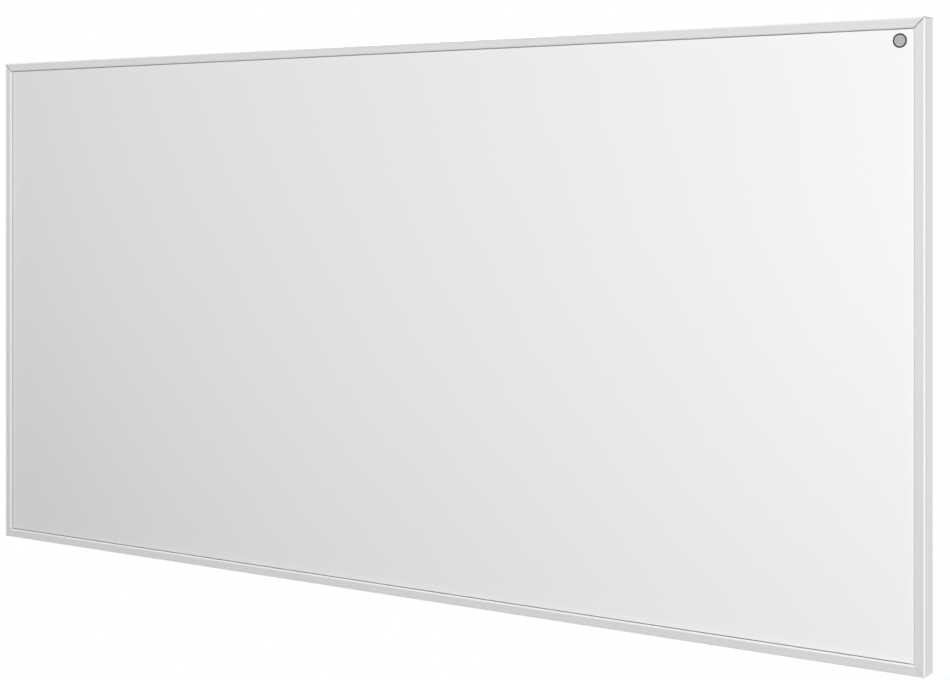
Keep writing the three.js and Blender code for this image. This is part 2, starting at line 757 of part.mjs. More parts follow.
function rearCoverScrews() {
  const group = new THREE.Group();
  const body = screwBody({
    under: coverBack + SEAT,
    radius: COVER_SCREW_RADIUS,
    length: COVER_SCREW_LENGTH,
    point: COVER_SCREW_POINT,
    headRadius: COVER_SCREW_HEAD_RADIUS,
    headHeight: COVER_SCREW_HEAD_HEIGHT,
  });
  for (const side of SIDES) {
    const holder = sideHolder(side);
    screwPlaces(side).forEach((along, i) => {
      const name = side.name.replace("frame", "rear_cover_screw").replace(/_(rail|stile)$/, "_" + (i + 1));
      const screw = piece(name, body, FINISH.zinc);
      screw.position.set(along, 0, side.reach - screwInset);
      holder.add(screw);
    });
    group.add(holder);
  }
  return group;
}

// ------------------------------------------------------------------------------ hanger brackets

// Points of an arc about x, y, between two angles in degrees.
function arcPoints(x, y, radius, from, to) {
  return Array.from({ length: ARC + 1 }, (_, i) => {
    const angle = THREE.MathUtils.degToRad(from + ((to - from) * i) / ARC);
    return [x + radius * Math.cos(angle), y + radius * Math.sin(angle)];
  });
}

// The hat section in X and Y: flange, leg, crown, leg, flange, with its feet at y = 0.
function hatSection() {
  const outside = BRACKET_BEND + BRACKET_SHEET;
  const crownX = BRACKET_HALF_HAT - outside;
  const crownY = BRACKET_RISE - SEAT - outside;
  const footX = BRACKET_HALF_HAT + BRACKET_BEND;
  const tip = BRACKET_HALF_HAT + BRACKET_FLANGE;
  const right = [
    ...arcPoints(crownX, crownY, outside, 90, 0),
    ...arcPoints(footX, outside, BRACKET_BEND, 180, 270),
    [tip, BRACKET_SHEET],
    [tip, 0],
    ...arcPoints(footX, outside, outside, 270, 180),
    ...arcPoints(crownX, crownY, BRACKET_BEND, 0, 90),
  ];
  const left = right.map(([x, y]) => [-x, y]).reverse();
  return new THREE.Shape([...right, ...left].map(([x, y]) => new THREE.Vector2(x, y)));
}

// A bracket about its seated screw's axis, its feet at y = 0 and its crown towards the wall.
function bracketBody() {
  const slot = WALL_SCREW_RADIUS + SLOT_PLAY;
  const entry = WALL_SCREW_HEAD_RADIUS + ENTRY_PLAY;
  const slotEnd = WALL_SCREW_RADIUS + SEAT - slot;
  const top = slotEnd + slot + BRACKET_MARGIN;
  const bottom = -LIFT_TRAVEL - entry - BRACKET_MARGIN;
  const height = top - bottom;
  const middle = (top + bottom) / 2;
  const hat = new THREE.ExtrudeGeometry(hatSection(), { depth: height, bevelEnabled: false });
  const width = 2 * (BRACKET_HALF_HAT + BRACKET_FLANGE);
  const trimmed = slab(rectangle(width, height, BRACKET_CORNER), -PAST, BRACKET_RISE + PAST);

  const crown = BRACKET_RISE / 2;
  const keyway = stadium(LIFT_TRAVEL + slotEnd, 2 * slot);
  const slotTool = slab(keyway, crown, BRACKET_RISE + PAST).rotate([0, 90, 0]);
  const slotPlaced = slotTool.translate(0, 0, (slotEnd - LIFT_TRAVEL) / 2);
  const entryTool = rod(entry, crown, BRACKET_RISE + PAST, ROUND, 0, -LIFT_TRAVEL);
  const blank = solid(hat.translate(0, 0, bottom)).intersect(trimmed.translate(0, 0, middle));
  return less(blank, [slotPlaced, entryTool]);
}

function hangerBrackets() {
  const group = new THREE.Group();
  const body = bracketBody();
  for (const corner of CORNERS) {
    const bracket = piece("hanger_bracket_" + corner.name, body, FINISH.zinc);
    bracket.position.set(corner.x * hangerX, coverBack + SEAT, corner.z * hangerZ);
    group.add(bracket);
  }
  return group;
}

// ------------------------------------------------------------------------------ wall fixings

function spacerBody() {
  const bore = WALL_SCREW_RADIUS + SEAT;
  const end = BRACKET_RISE + SEAT - WALL_GAP;
  const profile = [
    [bore, 0],
    [SPACER_FOOT_RADIUS, 0],
    [SPACER_FOOT_RADIUS, -SPACER_FOOT_HEIGHT],
    [SPACER_RADIUS, -2 * SPACER_FOOT_HEIGHT],
    [SPACER_RADIUS, end + SPACER_CHAMFER],
    [SPACER_RADIUS - SPACER_CHAMFER, end],
    [bore, end],
  ];
  return turned(profile, ROUND);
}

function wallScrewBody() {
  const under = BRACKET_RISE - BRACKET_SHEET - SEAT - WALL_GAP;
  const crown = under - WALL_SCREW_HEAD_HEIGHT;
  const profile = [
    [0, WALL_SCREW_EMBEDDED],
    [WALL_SCREW_THREAD_RADIUS, WALL_SCREW_EMBEDDED - WALL_SCREW_TIP],
    [WALL_SCREW_THREAD_RADIUS, WALL_SCREW_TIP],
    [WALL_SCREW_RADIUS, 0],
    [WALL_SCREW_RADIUS, under],
    [WALL_SCREW_HEAD_RADIUS, under],
    [WALL_SCREW_HEAD_RADIUS, (under + crown) / 2],
    [WALL_SCREW_HEAD_RADIUS * SCREW_CROWN_SHARE, crown],
    [0, crown],
  ];
  return turned(profile, SMALL_ROUND);
}

function wallFixings() {
  const group = new THREE.Group();
  const spacer = spacerBody();
  const screw = wallScrewBody();
  for (const corner of CORNERS) {
    const pair = new THREE.Group();
    pair.position.set(corner.x * hangerX, 0, corner.z * hangerZ);
    pair.add(piece("wall_spacer_" + corner.name, spacer, FINISH.spacer));
    pair.add(piece("wall_screw_" + corner.name, screw, FINISH.zinc));
    group.add(pair);
  }
  return group;
}

// ------------------------------------------------------------------------------ junction box

// In the box's own group y = 0 is the underside of its floor, and x = z = 0 its middle.
const glandAxis = (BOX_FLOOR + BOX_DEPTH + SEAT) / 2;

function boxOutline(inset) {
  return rectangle(BOX_WIDTH - 2 * inset, BOX_HEIGHT - 2 * inset, BOX_CORNER - inset);
}

// One rod at each lid screw's axis.
function atBosses(radius, low, high, sides) {
  const x = BOX_WIDTH / 2 - BOSS_INSET;
  const z = BOX_HEIGHT / 2 - BOSS_INSET;
  return CORNERS.map((corner) => rod(radius, low, high, sides, corner.x * x, corner.z * z));
}

function boxBase() {
  const bossTop = BOX_DEPTH - LID_TONGUE - SEAT;
  const outside = slab(boxOutline(0), 0, BOX_DEPTH);
  const inside = slab(boxOutline(BOX_WALL), BOX_FLOOR, BOX_DEPTH + PAST);
  const bosses = atBosses(BOSS_RADIUS, BOX_FLOOR / 2, bossTop, SMALL_ROUND);
  const glandHole = upright(GLAND_THREAD_RADIUS + SEAT, -PAST, BOX_WALL + PAST, ROUND);
  return less(joined([outside.subtract(inside), ...bosses]), [
    ...atBosses(LID_SCREW_RADIUS + SEAT, BOX_FLOOR, BOX_DEPTH, TINY_ROUND),
    leadWindow(-PAST, BOX_FLOOR + PAST).translate(0, 0, WINDOW_RISE),
    glandHole.translate(0, glandAxis, -BOX_HEIGHT / 2),
  ]);
}

// The lid's tongue stands inside the walls, with a notch over the gland's locknut.
function boxLid() {
  const under = BOX_DEPTH + SEAT;
  const top = under + LID_THICKNESS;
  const inset = BOX_WALL + SEAT;
  const low = BOX_DEPTH - LID_TONGUE;
  const tongue = slab(boxOutline(inset), low, under + LID_THICKNESS / 2);
  const hollow = slab(boxOutline(inset + TONGUE_WALL), low - PAST, under);
  const notchWidth = 2 * (hexagonRadius(GLAND_FLATS) + NOTCH_PLAY);
  const notchReach = 2 * (inset + TONGUE_WALL + PAST);
  const notch = slab(rectangle(notchWidth, notchReach, NOTCH_PLAY), low - PAST, under);
  const ring = less(tongue, [hollow, notch.translate(0, 0, -BOX_HEIGHT / 2)]);
  const plate = roundedSlab(boxOutline(0), under, top, LID_ROUND);
  return less(plate.add(ring), [
    ...atBosses(LID_SCREW_RADIUS + SEAT, low - PAST, top + PAST, TINY_ROUND),
    ...atBosses(LID_SCREW_HEAD_RADIUS + SEAT, top - LID_SCREW_SUNK, top + PAST, SMALL_ROUND),
  ]);
}

function lidScrews() {
  const group = new THREE.Group();
  const headHeight = LID_SCREW_SUNK - SEAT;
  const body = screwBody({
    under: BOX_DEPTH + SEAT + LID_THICKNESS - headHeight,
    radius: LID_SCREW_RADIUS,
    length: LID_SCREW_LENGTH,
    point: LID_SCREW_POINT,
    headRadius: LID_SCREW_HEAD_RADIUS,
    headHeight,
  });
  for (const corner of CORNERS) {
    const screw = piece("box_lid_screw_" + corner.name, body, FINISH.zinc);
    screw.position.x = corner.x * (BOX_WIDTH / 2 - BOSS_INSET);
    screw.position.z = corner.z * (BOX_HEIGHT / 2 - BOSS_INSET);
    group.add(screw);
  }
  return group;
}

// A bar with three poles: each has a tower over its clamping screw, and a hole at either side for a wire.
function terminalBlock() {
  const low = BOX_FLOOR + SEAT;
  const high = low + BLOCK_DEPTH;
  const bar = slab(rectangle(BLOCK_WIDTH, BLOCK_HEIGHT, BLOCK_CORNER), low, high);
  const hole = upright(POLE_HOLE_RADIUS, -POLE_HOLE_DEPTH, POLE_HOLE_DEPTH, TINY_ROUND);
  const poles = [-POLE_PITCH, 0, POLE_PITCH];
  const towers = poles.map((x) => rod(POLE_RADIUS, low + PAST, high + POLE_HEIGHT, SMALL_ROUND, x));
  const cuts = poles.flatMap((x) => [
    rod(POLE_RADIUS - POLE_WALL, high + POLE_HEIGHT / 2, high + POLE_HEIGHT + PAST, TINY_ROUND, x),
    hole.translate(x, low + BLOCK_DEPTH / 2, BLOCK_HEIGHT / 2),
    hole.translate(x, low + BLOCK_DEPTH / 2, -BLOCK_HEIGHT / 2),
  ]);
  const block = piece("terminal_block", less(joined([bar, ...towers]), cuts), FINISH.box);
  block.position.z = BLOCK_RISE;
  return block;
}

// ------------------------------------------------------------------------------ cable gland

// In the gland's own group z = 0 is the outside of the box's bottom wall, and -Z leads out.
function cableGland() {
  const thread = GLAND_THREAD_RADIUS;
  const hexagon = hexagonRadius(GLAND_FLATS);
  const flangeEnd = -SEAT - GLAND_FLANGE;
  const stubEnd = flangeEnd - GLAND_STUB;
  const nutStart = BOX_WALL + SEAT;
  const tail = nutStart + LOCKNUT_HEIGHT + GLAND_TAIL;
  const pocketFloor = stubEnd + GLAND_SEAL_LENGTH - GLAND_SEAL_TAPER;

  const flange = upright(hexagon, flangeEnd, -SEAT, 6);
  const body = less(joined([flange, upright(thread, stubEnd, tail, ROUND)]), [
    upright(GLAND_BORE_RADIUS, stubEnd - PAST, tail + PAST, SMALL_ROUND),
    upright(SEAL_POCKET_RADIUS, stubEnd - PAST, pocketFloor, SMALL_ROUND),
  ]);

  const locknut = upright(hexagon, nutStart, nutStart + LOCKNUT_HEIGHT, 6).subtract(
    upright(thread + SEAT, nutStart - PAST, nutStart + LOCKNUT_HEIGHT + PAST, ROUND),
  );

  const sealTop = pocketFloor - SEAT;
  const sealEnd = sealTop - GLAND_SEAL_LENGTH;
  const sealRadius = SEAL_POCKET_RADIUS - SEAT;
  const seal = turned(
    [
      [SEAL_BORE_RADIUS, sealTop],
      [sealRadius, sealTop],
      [sealRadius, stubEnd],
      [sealRadius - GLAND_SEAL_TAPER, sealEnd],
      [SEAL_BORE_RADIUS, sealEnd],
    ],
    SMALL_ROUND,
  ).rotate([90, 0, 0]);

  // the dome nut: a hexagon that runs into a dome, over a threaded bore and a cone
  const nutTop = flangeEnd - SEAT;
  const nutEnd = nutTop - DOME_LENGTH;
  const coneStart = Math.min(stubEnd, sealEnd) - SEAT;
  const coneEnd = coneStart - DOME_CONE;
  const domeStart = nutTop - DOME_HEX - DOME_CHAMFER;
  const dome = Array.from({ length: DOME_STEPS + 1 }, (_, i) => {
    const angle = ((i / DOME_STEPS) * Math.PI) / 2;
    const radius = DOME_END_RADIUS + (GLAND_FLATS / 2 - DOME_END_RADIUS) * Math.cos(angle);
    return [radius, domeStart + (nutEnd - domeStart) * Math.sin(angle)];
  });
  const hexagonEnd = [hexagon, nutTop - DOME_HEX];
  const outline = [[0, nutTop], [hexagon, nutTop], hexagonEnd, ...dome, [0, nutEnd]];
  const envelope = turned(outline, ROUND).rotate([90, 0, 0]);
  const bore = turned(
    [
      [0, nutTop + PAST],
      [thread + SEAT, nutTop + PAST],
      [thread + SEAT, coneStart],
      [DOME_BORE_RADIUS, coneEnd],
      [DOME_BORE_RADIUS, nutEnd - PAST],
      [0, nutEnd - PAST],
    ],
    ROUND,
  ).rotate([90, 0, 0]);
  const nut = upright(hexagon, nutEnd, nutTop, 6).intersect(envelope).subtract(bore);

  const group = new THREE.Group();
  group.add(piece("cable_gland_body", body, FINISH.gland));
  group.add(piece("cable_gland_locknut", locknut, FINISH.gland));
  group.add(piece("cable_gland_seal", seal, FINISH.rubber));
  group.add(piece("cable_gland_nut", nut, FINISH.gland));
  group.position.set(0, glandAxis, -BOX_HEIGHT / 2);
  return group;
}

function junctionBox() {
  const group = new THREE.Group();
  group.add(piece("junction_box_base", boxBase(), FINISH.box));
  group.add(piece("junction_box_lid", boxLid(), FINISH.box));
  group.add(lidScrews(), terminalBlock(), cableGland());
  group.position.set(boxX, coverBack + SEAT, boxZ);
  return group;
}

// ------------------------------------------------------------------------------ assembly

const heater = new THREE.Group();
heater.position.y = -(WALL_GAP + FRAME_DEPTH);
heater.add(mitredFrame(), cornerKeys());
heater.add(frontPanel(), panelEdgeSeal(), heatingLaminate(), busBars(), reflectorFoil(), insulationMat());
heater.add(thermalCutouts(), internalLeads(), earthPoint());
heater.add(rearCover(), rearCoverScrews(), hangerBrackets(), junctionBox());

const infraredPanelHeater = new THREE.Group();
infraredPanelHeater.add(wallFixings(), heater);

export default infraredPanelHeater;
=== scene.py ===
# %% [markdown]
# # An infrared panel heater: dressing a slim, flat, white thing
#
# A flat white heater has nowhere to hide. What makes it look real is the quiet part: how the light
# falls off across the coated plate, the hairlines where the rails meet, the thin grey line of the
# seal, and, behind, honest sheet metal, screws and moulded plastic.
#
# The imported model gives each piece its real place, so nothing here is moved. Each cell below makes
# one piece or one finish, in metres, in the model's own frame: X along the panel, Z up, the front
# towards -Y, and the feet of the spacers at y = 0.

# %% Load the frame
import json
import math

import bmesh
import bpy
from mathutils import Matrix, Vector


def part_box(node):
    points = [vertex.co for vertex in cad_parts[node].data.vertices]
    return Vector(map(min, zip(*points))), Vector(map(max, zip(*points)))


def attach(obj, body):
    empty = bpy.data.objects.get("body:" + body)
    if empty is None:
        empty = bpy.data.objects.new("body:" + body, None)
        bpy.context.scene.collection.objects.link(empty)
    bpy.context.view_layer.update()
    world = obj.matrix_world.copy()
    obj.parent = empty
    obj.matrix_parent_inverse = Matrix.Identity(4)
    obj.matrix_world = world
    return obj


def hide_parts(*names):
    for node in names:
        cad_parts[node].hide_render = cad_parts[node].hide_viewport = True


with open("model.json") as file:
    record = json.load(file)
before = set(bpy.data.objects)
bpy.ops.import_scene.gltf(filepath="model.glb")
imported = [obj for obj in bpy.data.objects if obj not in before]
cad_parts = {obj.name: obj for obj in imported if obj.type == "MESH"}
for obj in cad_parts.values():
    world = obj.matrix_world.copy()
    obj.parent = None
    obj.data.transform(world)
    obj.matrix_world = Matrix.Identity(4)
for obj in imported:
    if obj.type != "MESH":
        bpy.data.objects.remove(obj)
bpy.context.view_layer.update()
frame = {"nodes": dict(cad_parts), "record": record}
MM = 0.001

# %% [markdown]
# ## Camera
#
# The verticals of the panel stay parallel in the picture, so the camera is level and its frame is
# shifted instead of tilted, as an architectural lens does. The horizon is then the height where
# lines that run away into depth turn from falling to rising, and a long lens keeps the far side
# from shrinking too much. Tilting the camera would be simpler, but the sides would converge.

# %% Camera: level, off to the right, with a vertical shift
PHOTO_WIDTH = 950
PHOTO_HEIGHT = 680
SENSOR_WIDTH = 36.0
FOCAL_PIXELS = 1796.0
HORIZON_PIXEL = 181.8
CAMERA_PLACE = Vector((1.149, -1.636, 0.150))
CAMERA_TURN = math.radians(33.15)

lens = bpy.data.cameras.new("camera")
lens.sensor_width = SENSOR_WIDTH
lens.lens = FOCAL_PIXELS / PHOTO_WIDTH * SENSOR_WIDTH
lens.shift_y = (HORIZON_PIXEL - PHOTO_HEIGHT / 2) / PHOTO_WIDTH
camera = bpy.data.objects.new("camera", lens)
camera.location = CAMERA_PLACE
camera.rotation_euler = (math.radians(90), 0, CAMERA_TURN)
bpy.context.scene.collection.objects.link(camera)
bpy.context.scene.camera = camera
print(f"camera: {lens.lens:.1f} mm lens, shift {lens.shift_y:.4f}")

# %% [markdown]
# ## Shader maths as plain expressions
#
# A finish is mostly arithmetic on noise: a fleck here, a smudge there. Wiring Math nodes by hand
# hides that, so `Value` wraps a node's output and lets Python's operators add the nodes, and
# `Wiring.node` makes every other kind of node from its type, its settings and its inputs.

# %% Value: an output that Python can reckon with
class Value:
    """A node's output. An operator on it adds the Math node that does the sum."""

    def __init__(self, wiring, socket):
        self.wiring = wiring
        self.socket = socket

    def maths(self, operation, *values):
        return self.wiring.node("ShaderNodeMath", {"operation": operation}, dict(enumerate(values)))

    def __add__(self, other):
        return self.maths("ADD", self, other)

    def __sub__(self, other):
        return self.maths("SUBTRACT", self, other)

    def __rsub__(self, other):
        return self.maths("SUBTRACT", other, self)

    def __mul__(self, other):
        return self.maths("MULTIPLY", self, other)

    def __abs__(self):
        return self.maths("ABSOLUTE", self)

    def over(self, limit):
        return self.maths("GREATER_THAN", self, limit)

    def under(self, limit):
        return self.maths("LESS_THAN", self, limit)

    def within(self, low, high):
        """0 below low, 1 above high, and an even ramp between them."""
        inputs = {"Value": self, "From Min": low, "From Max": high}
        return self.wiring.node("ShaderNodeMapRange", {}, inputs)

    __radd__ = __add__
    __rmul__ = __mul__


# %% Wiring: any node tree; Finish: a material in the making
class Wiring:
    """A node tree, and the one way in which nodes are added to it."""

    def __init__(self, tree):
        self.tree = tree

    def feed(self, socket, value):
        if isinstance(value, Value):
            self.tree.links.new(value.socket, socket)
        else:
            socket.default_value = value

    def node(self, kind, settings, inputs, output=0):
        """Adds a node: its settings come first, because some of them change which sockets it has."""
        node = self.tree.nodes.new(kind)
        for name, setting in settings.items():
            setattr(node, name, setting)
        for key, value in inputs.items():
            self.feed(node.inputs[key], value)
        return None if output is None else Value(self, node.outputs[output])


class Finish(Wiring):
    """A material in the making; surface() feeds its shader's sockets by name."""

    def __init__(self, name):
        self.material = bpy.data.materials.new(name)
        self.material.use_nodes = True
        super().__init__(self.material.node_tree)
        self.shader = self.tree.nodes["Principled BSDF"]

    def surface(self, **inputs):
        for name, value in inputs.items():
            self.feed(self.shader.inputs[name.replace("_", " ").title()], value)
        return self.material

    def place(self, stretch=(1, 1, 1)):
        """Where a point is on the object, in metres, squeezed along each axis by stretch."""
        here = self.node("ShaderNodeTexCoord", {}, {}, "Object")
        return self.node("ShaderNodeMapping", {}, {"Vector": here, "Scale": stretch})

    def along(self, axis):
        """How far along one axis a point is, in metres."""
        here = self.node("ShaderNodeTexCoord", {}, {}, "Object")
        return self.node("ShaderNodeSeparateXYZ", {}, {0: here}, axis)

    def noise(self, size, detail=2.0, rough=0.5, stretch=(1, 1, 1)):
        """Cloudy noise from 0 to 1 whose blobs are about size metres across."""
        where = {"Vector": self.place(stretch), "Scale": 1 / size}
        return self.node("ShaderNodeTexNoise", {}, {**where, "Detail": detail, "Roughness": rough})

    def cells(self, size, output="Distance"):
        """Voronoi cells about size metres across: the distance to their middles, or their colours."""
        inputs = {"Vector": self.place(), "Scale": 1 / size}
        return self.node("ShaderNodeTexVoronoi", {}, inputs, output)

    def blend(self, share, first, second):
        return self.node("ShaderNodeMix", {"data_type": "RGBA"}, {0: share, 6: first, 7: second}, 2)

    def bump(self, height, depth, strength=1.0):
        inputs = {"Height": height, "Distance": depth, "Strength": strength}
        return self.node("ShaderNodeBump", {}, inputs)


def grey(level, warm=0.0):
    """A neutral colour, or a slightly warm one where warm is above 0."""
    return (level * (1 + warm), level, level * (1 - warm), 1)


print("shader helpers are ready")

# %% [markdown]
# ## Light
#
# The plate runs from light grey at its lower left to almost white at its upper right. A lamp that
# is near enough for its light to fall off across the panel gives that ramp by itself, so no colour
# has to be painted. This key lamp stands in front, to the right and above, and a weak one on the
# left fills in. A third, low on the right and a little further back than the panel, reaches only
# the side of the frame, and a fourth lights the back. The surroundings are dim grey for the
# surfaces and white for the camera. Metal mirrors them nearly white, and darker below, as above a
# floor.

# %% Lamps
PANEL_MIDDLE = (0, 0, 0)
LOWER_RIGHT_EDGE = (0.6, 0, -0.1)


def lamp(name, place, aim, diameter, watts, mirrored=False):
    light = bpy.data.lights.new(name, "AREA")
    light.shape = "DISK"
    light.size = diameter
    light.energy = watts
    holder = bpy.data.objects.new(name, light)
    holder.location = place
    beam = Vector(aim) - Vector(place)
    holder.rotation_euler = beam.to_track_quat("-Z", "Y").to_euler()
    holder.visible_glossy = mirrored
    bpy.context.scene.collection.objects.link(holder)
    print(f"{name}: {watts} W, {diameter} m across, {beam.length:.2f} m away")


lamp("key_lamp", (1.49, -2.15, 0.42), PANEL_MIDDLE, diameter=1.0, watts=51)
lamp("fill_lamp", (-0.62, -1.03, 0.39), PANEL_MIDDLE, diameter=0.5, watts=2.1)
lamp("side_lamp", (2.5, 0.45, -0.9), LOWER_RIGHT_EDGE, diameter=0.9, watts=22)
lamp("rear_lamp", (-1.3, 1.7, 1.5), PANEL_MIDDLE, diameter=0.6, watts=62, mirrored=True)

# %% Surroundings
AMBIENT = 0.15
MIRRORED_FLOOR = 0.32
MIRRORED_ROOM = 0.91
MIRRORED_ABOVE = 1.07
FLOOR_TO_ROOM = (-0.80, -0.30)  # the upward share of a mirrored ray where one turns into the other
ROOM_TO_ABOVE = (-0.25, 0.10)
WHITE = 1.0

world = bpy.data.worlds.new("studio")
world.use_nodes = True
bpy.context.scene.world = world
world.node_tree.nodes.clear()
sky = Wiring(world.node_tree)


def seen_by(kind):
    return sky.node("ShaderNodeLightPath", {}, {}, f"Is {kind} Ray")


direction = sky.node("ShaderNodeTexCoord", {}, {}, "Generated")
upward = sky.node("ShaderNodeSeparateXYZ", {}, {0: direction}, "Z")
mirrored = (
    upward.within(*FLOOR_TO_ROOM) * (MIRRORED_ROOM - MIRRORED_FLOOR)
    + upward.within(*ROOM_TO_ABOVE) * (MIRRORED_ABOVE - MIRRORED_ROOM)
    + MIRRORED_FLOOR
)
for_surfaces = seen_by("Glossy") * (mirrored - AMBIENT) + AMBIENT
strength = seen_by("Camera") * (WHITE - for_surfaces) + for_surfaces
backdrop = sky.node("ShaderNodeBackground", {}, {"Color": (1, 1, 1, 1), "Strength": strength})
sky.node("ShaderNodeOutputWorld", {}, {"Surface": backdrop}, None)
bpy.context.scene.view_settings.view_transform = "Standard"
print(f"surroundings: {AMBIENT} for surfaces, {MIRRORED_FLOOR} to {MIRRORED_ABOVE} in reflections")

# %% [markdown]
# ## Front coat: fine white powder coat
#
# Powder coat flows out as it bakes, but never quite flat: it keeps a faint orange peel a millimetre
# or two across, with a much finer grain on top. From across a room neither shows, and the plate
# reads as an even satin white; close up they carry the surface. Both go into one bump. The colour
# only drifts by a hair, because a real coat is that even.

# %% Front coat
def front_coat():
    f = Finish("front_coat")
    peel = f.noise(1.6 * MM, detail=1.0)
    grain = f.noise(0.28 * MM, detail=2.0)
    drift = f.noise(0.35, detail=1.0)
    colour = f.blend(drift, grey(0.885), grey(0.905, 0.002))
    fleck = f.blend(grain.within(0.58, 0.80) * 0.18, colour, grey(0.80))
    relief = f.bump(peel * 0.7 + grain * 0.3, 0.03 * MM, 0.5)
    return f.surface(base_color=fleck, roughness=0.44 + grain * 0.10, normal=relief)


# %% [markdown]
# ## Frame: satin aluminium, drawn through a die
#
# The rails are a shade greyer than the plate. Extruded metal keeps faint die lines along its length,
# which the satin finish softens but does not remove: noise that is stretched a thousandfold along
# the rail draws them. Where two rails meet, the saw has cut through the finish, so a thin line of
# bare metal runs down each mitre. The two upper joints are painted wider and much darker than the
# lower ones, as painted shade. The outer edge has a painted highlight, and so has the lip's inner
# edge at the bottom and on the left, the two lips that face the light.

# %% Frame aluminium, one finish for each direction of the rails
panel_low, panel_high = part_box("frame_top_rail")
PANEL_HALF_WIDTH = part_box("frame_right_stile")[1].x
PANEL_HALF_HEIGHT = panel_high.z
# the upper joints' band is wider, to carry painted shade
UPPER_JOINT = 0.50 * MM
LOWER_JOINT = 0.15 * MM
DRAWN_OUT = 0.0012  # the share of the noise's scale that is left along the rail
EDGE_HIGHLIGHT = (0.8 * MM, 1.3 * MM)  # where the outer edge's painted highlight fades out across the face,
EDGE_HIGHLIGHT_DEPTH = (0.8 * MM, 1.2 * MM)  # and down the side
# the painted highlight on the lip's inner edge, only on the left and at the bottom, which face the
# light
LIP_HIGHLIGHT = (8.2 * MM, 8.8 * MM)
LIP_HIGHLIGHT_DEPTH = 2.3 * MM
print(f"panel: {2 * PANEL_HALF_WIDTH:.3f} x {2 * PANEL_HALF_HEIGHT:.3f} m")


def frame_aluminium(name, long_axis):
    f = Finish(name)
    stretch, across, half = {
        "X": ((DRAWN_OUT, 1, 1), "Z", PANEL_HALF_HEIGHT),
        "Z": ((1, 1, DRAWN_OUT), "X", PANEL_HALF_WIDTH),
    }[long_axis]
    lines = f.noise(0.16 * MM, detail=3.0, rough=0.6, stretch=stretch)
    broad = f.noise(1.8 * MM, detail=1.0, stretch=stretch)
    speck = f.noise(0.5 * MM, detail=2.0)
    off_mitre = abs(abs(f.along("X")) - abs(f.along("Z")) - (PANEL_HALF_WIDTH - PANEL_HALF_HEIGHT))
    upper = f.along("Z").over(0)
    band = upper * (UPPER_JOINT - LOWER_JOINT) + LOWER_JOINT
    sawn = 1 - off_mitre.within(band * 0.6, band * 1.4)
    # The joint's colour: bare sawn metal in the lower joints, and painted shade, much darker, in the
    # upper ones.
    joint_and_shade = f.blend(upper, grey(0.52, -0.01), grey(0.15, -0.01))
    from_outside = half - abs(f.along(across))
    depth = f.along("Y") - panel_low.y
    # Painted highlight: a pale band along the outer edge all round, and along the lip's inner edge on
    # the left and bottom sides only.
    corner = (1 - from_outside.within(*EDGE_HIGHLIGHT)) * (1 - depth.within(*EDGE_HIGHLIGHT_DEPTH))
    lip_highlight = from_outside.within(*LIP_HIGHLIGHT) * depth.under(LIP_HIGHLIGHT_DEPTH) * f.along(across).under(0)
    painted_highlight = corner.maths("MAXIMUM", corner, lip_highlight) * (0.75 + speck * 0.25)
    satin = f.blend(lines.within(0.35, 0.65), grey(0.715), grey(0.755))
    streaked = f.blend(broad.within(0.40, 0.62) * 0.5, satin, grey(0.78))
    bright = f.blend(painted_highlight, streaked, grey(0.98))
    colour = f.blend(sawn, bright, joint_and_shade)
    relief = f.bump(lines * 0.6 + speck * 0.4, 0.012 * MM, 0.6)
    rough = 0.40 + lines * 0.10 + sawn * 0.15 - painted_highlight * 0.10
    return f.surface(base_color=colour, metallic=0.5 + sawn * 0.3, roughness=rough, normal=relief)


# %% [markdown]
# ## Finishes of the back: coated sheet, zinc and plastic
#
# The rear cover has the same kind of coat as the front, only thinner, greyer and with a coarser
# texture that hides scratches. Zinc plate is mottled: its crystals catch the light one by one, and
# the passivation on top drifts between bluish and yellowish. Moulded plastic copies the spark-worn
# skin of its mould, which is a fine, even, matt grain.

# %% Rear coat, zinc and moulded plastic
def rear_coat():
    f = Finish("rear_coat")
    pebble = f.noise(0.9 * MM, detail=2.0, rough=0.6)
    grain = f.noise(0.3 * MM, detail=1.0)
    drift = f.noise(0.22, detail=3.0)
    smudge = f.noise(0.07, detail=4.0, rough=0.65).within(0.52, 0.72)
    colour = f.blend(drift, grey(0.66, -0.006), grey(0.71, -0.004))
    dusty = f.blend(smudge * 0.25, colour, grey(0.60, 0.01))
    relief = f.bump(pebble * 0.75 + grain * 0.25, 0.06 * MM, 0.6)
    return f.surface(base_color=dusty, roughness=0.46 + smudge * 0.14 + pebble * 0.06, normal=relief)


def zinc_steel():
    f = Finish("zinc_steel")
    crystal = f.node("ShaderNodeSeparateXYZ", {}, {0: f.cells(2.6 * MM, "Color")}, "X")
    scratch = f.noise(0.12 * MM, detail=3.0, stretch=(0.02, 0.02, 1))
    tint = f.noise(9 * MM, detail=2.0)
    bluish, yellowish = (0.47, 0.49, 0.52, 1), (0.53, 0.515, 0.475, 1)
    passivated = f.blend(tint.within(0.38, 0.62), bluish, yellowish)
    colour = f.blend(crystal * 0.40, passivated, grey(0.64))
    relief = f.bump(scratch * 0.5 + crystal * 0.5, 0.02 * MM, 0.5)
    rough = 0.30 + crystal * 0.12 + scratch * 0.08
    return f.surface(base_color=colour, metallic=0.9, roughness=rough, normal=relief)


def moulded(name, level, warm, rough, grain_size):
    f = Finish(name)
    grain = f.noise(grain_size, detail=2.0, rough=0.6)
    flow = f.noise(14 * MM, detail=3.0)
    colour = f.blend(flow, grey(level * 0.96, warm), grey(level * 1.03, warm))
    dust = grey(min(1.0, level * 1.25 + 0.02), warm)
    dusted = f.blend(grain.within(0.55, 0.80) * 0.15, colour, dust)
    relief = f.bump(grain, 0.05 * MM, 0.5)
    return f.surface(base_color=dusted, roughness=rough + grain * 0.12, normal=relief)


# %% [markdown]
# ## Finishes inside
#
# The heating layers are closed in, but they belong to the object and each has its own skin: resin
# board with a faint glass weave, copper gone a little brown, crumpled foil, and needled felt whose
# fibres lie every way.

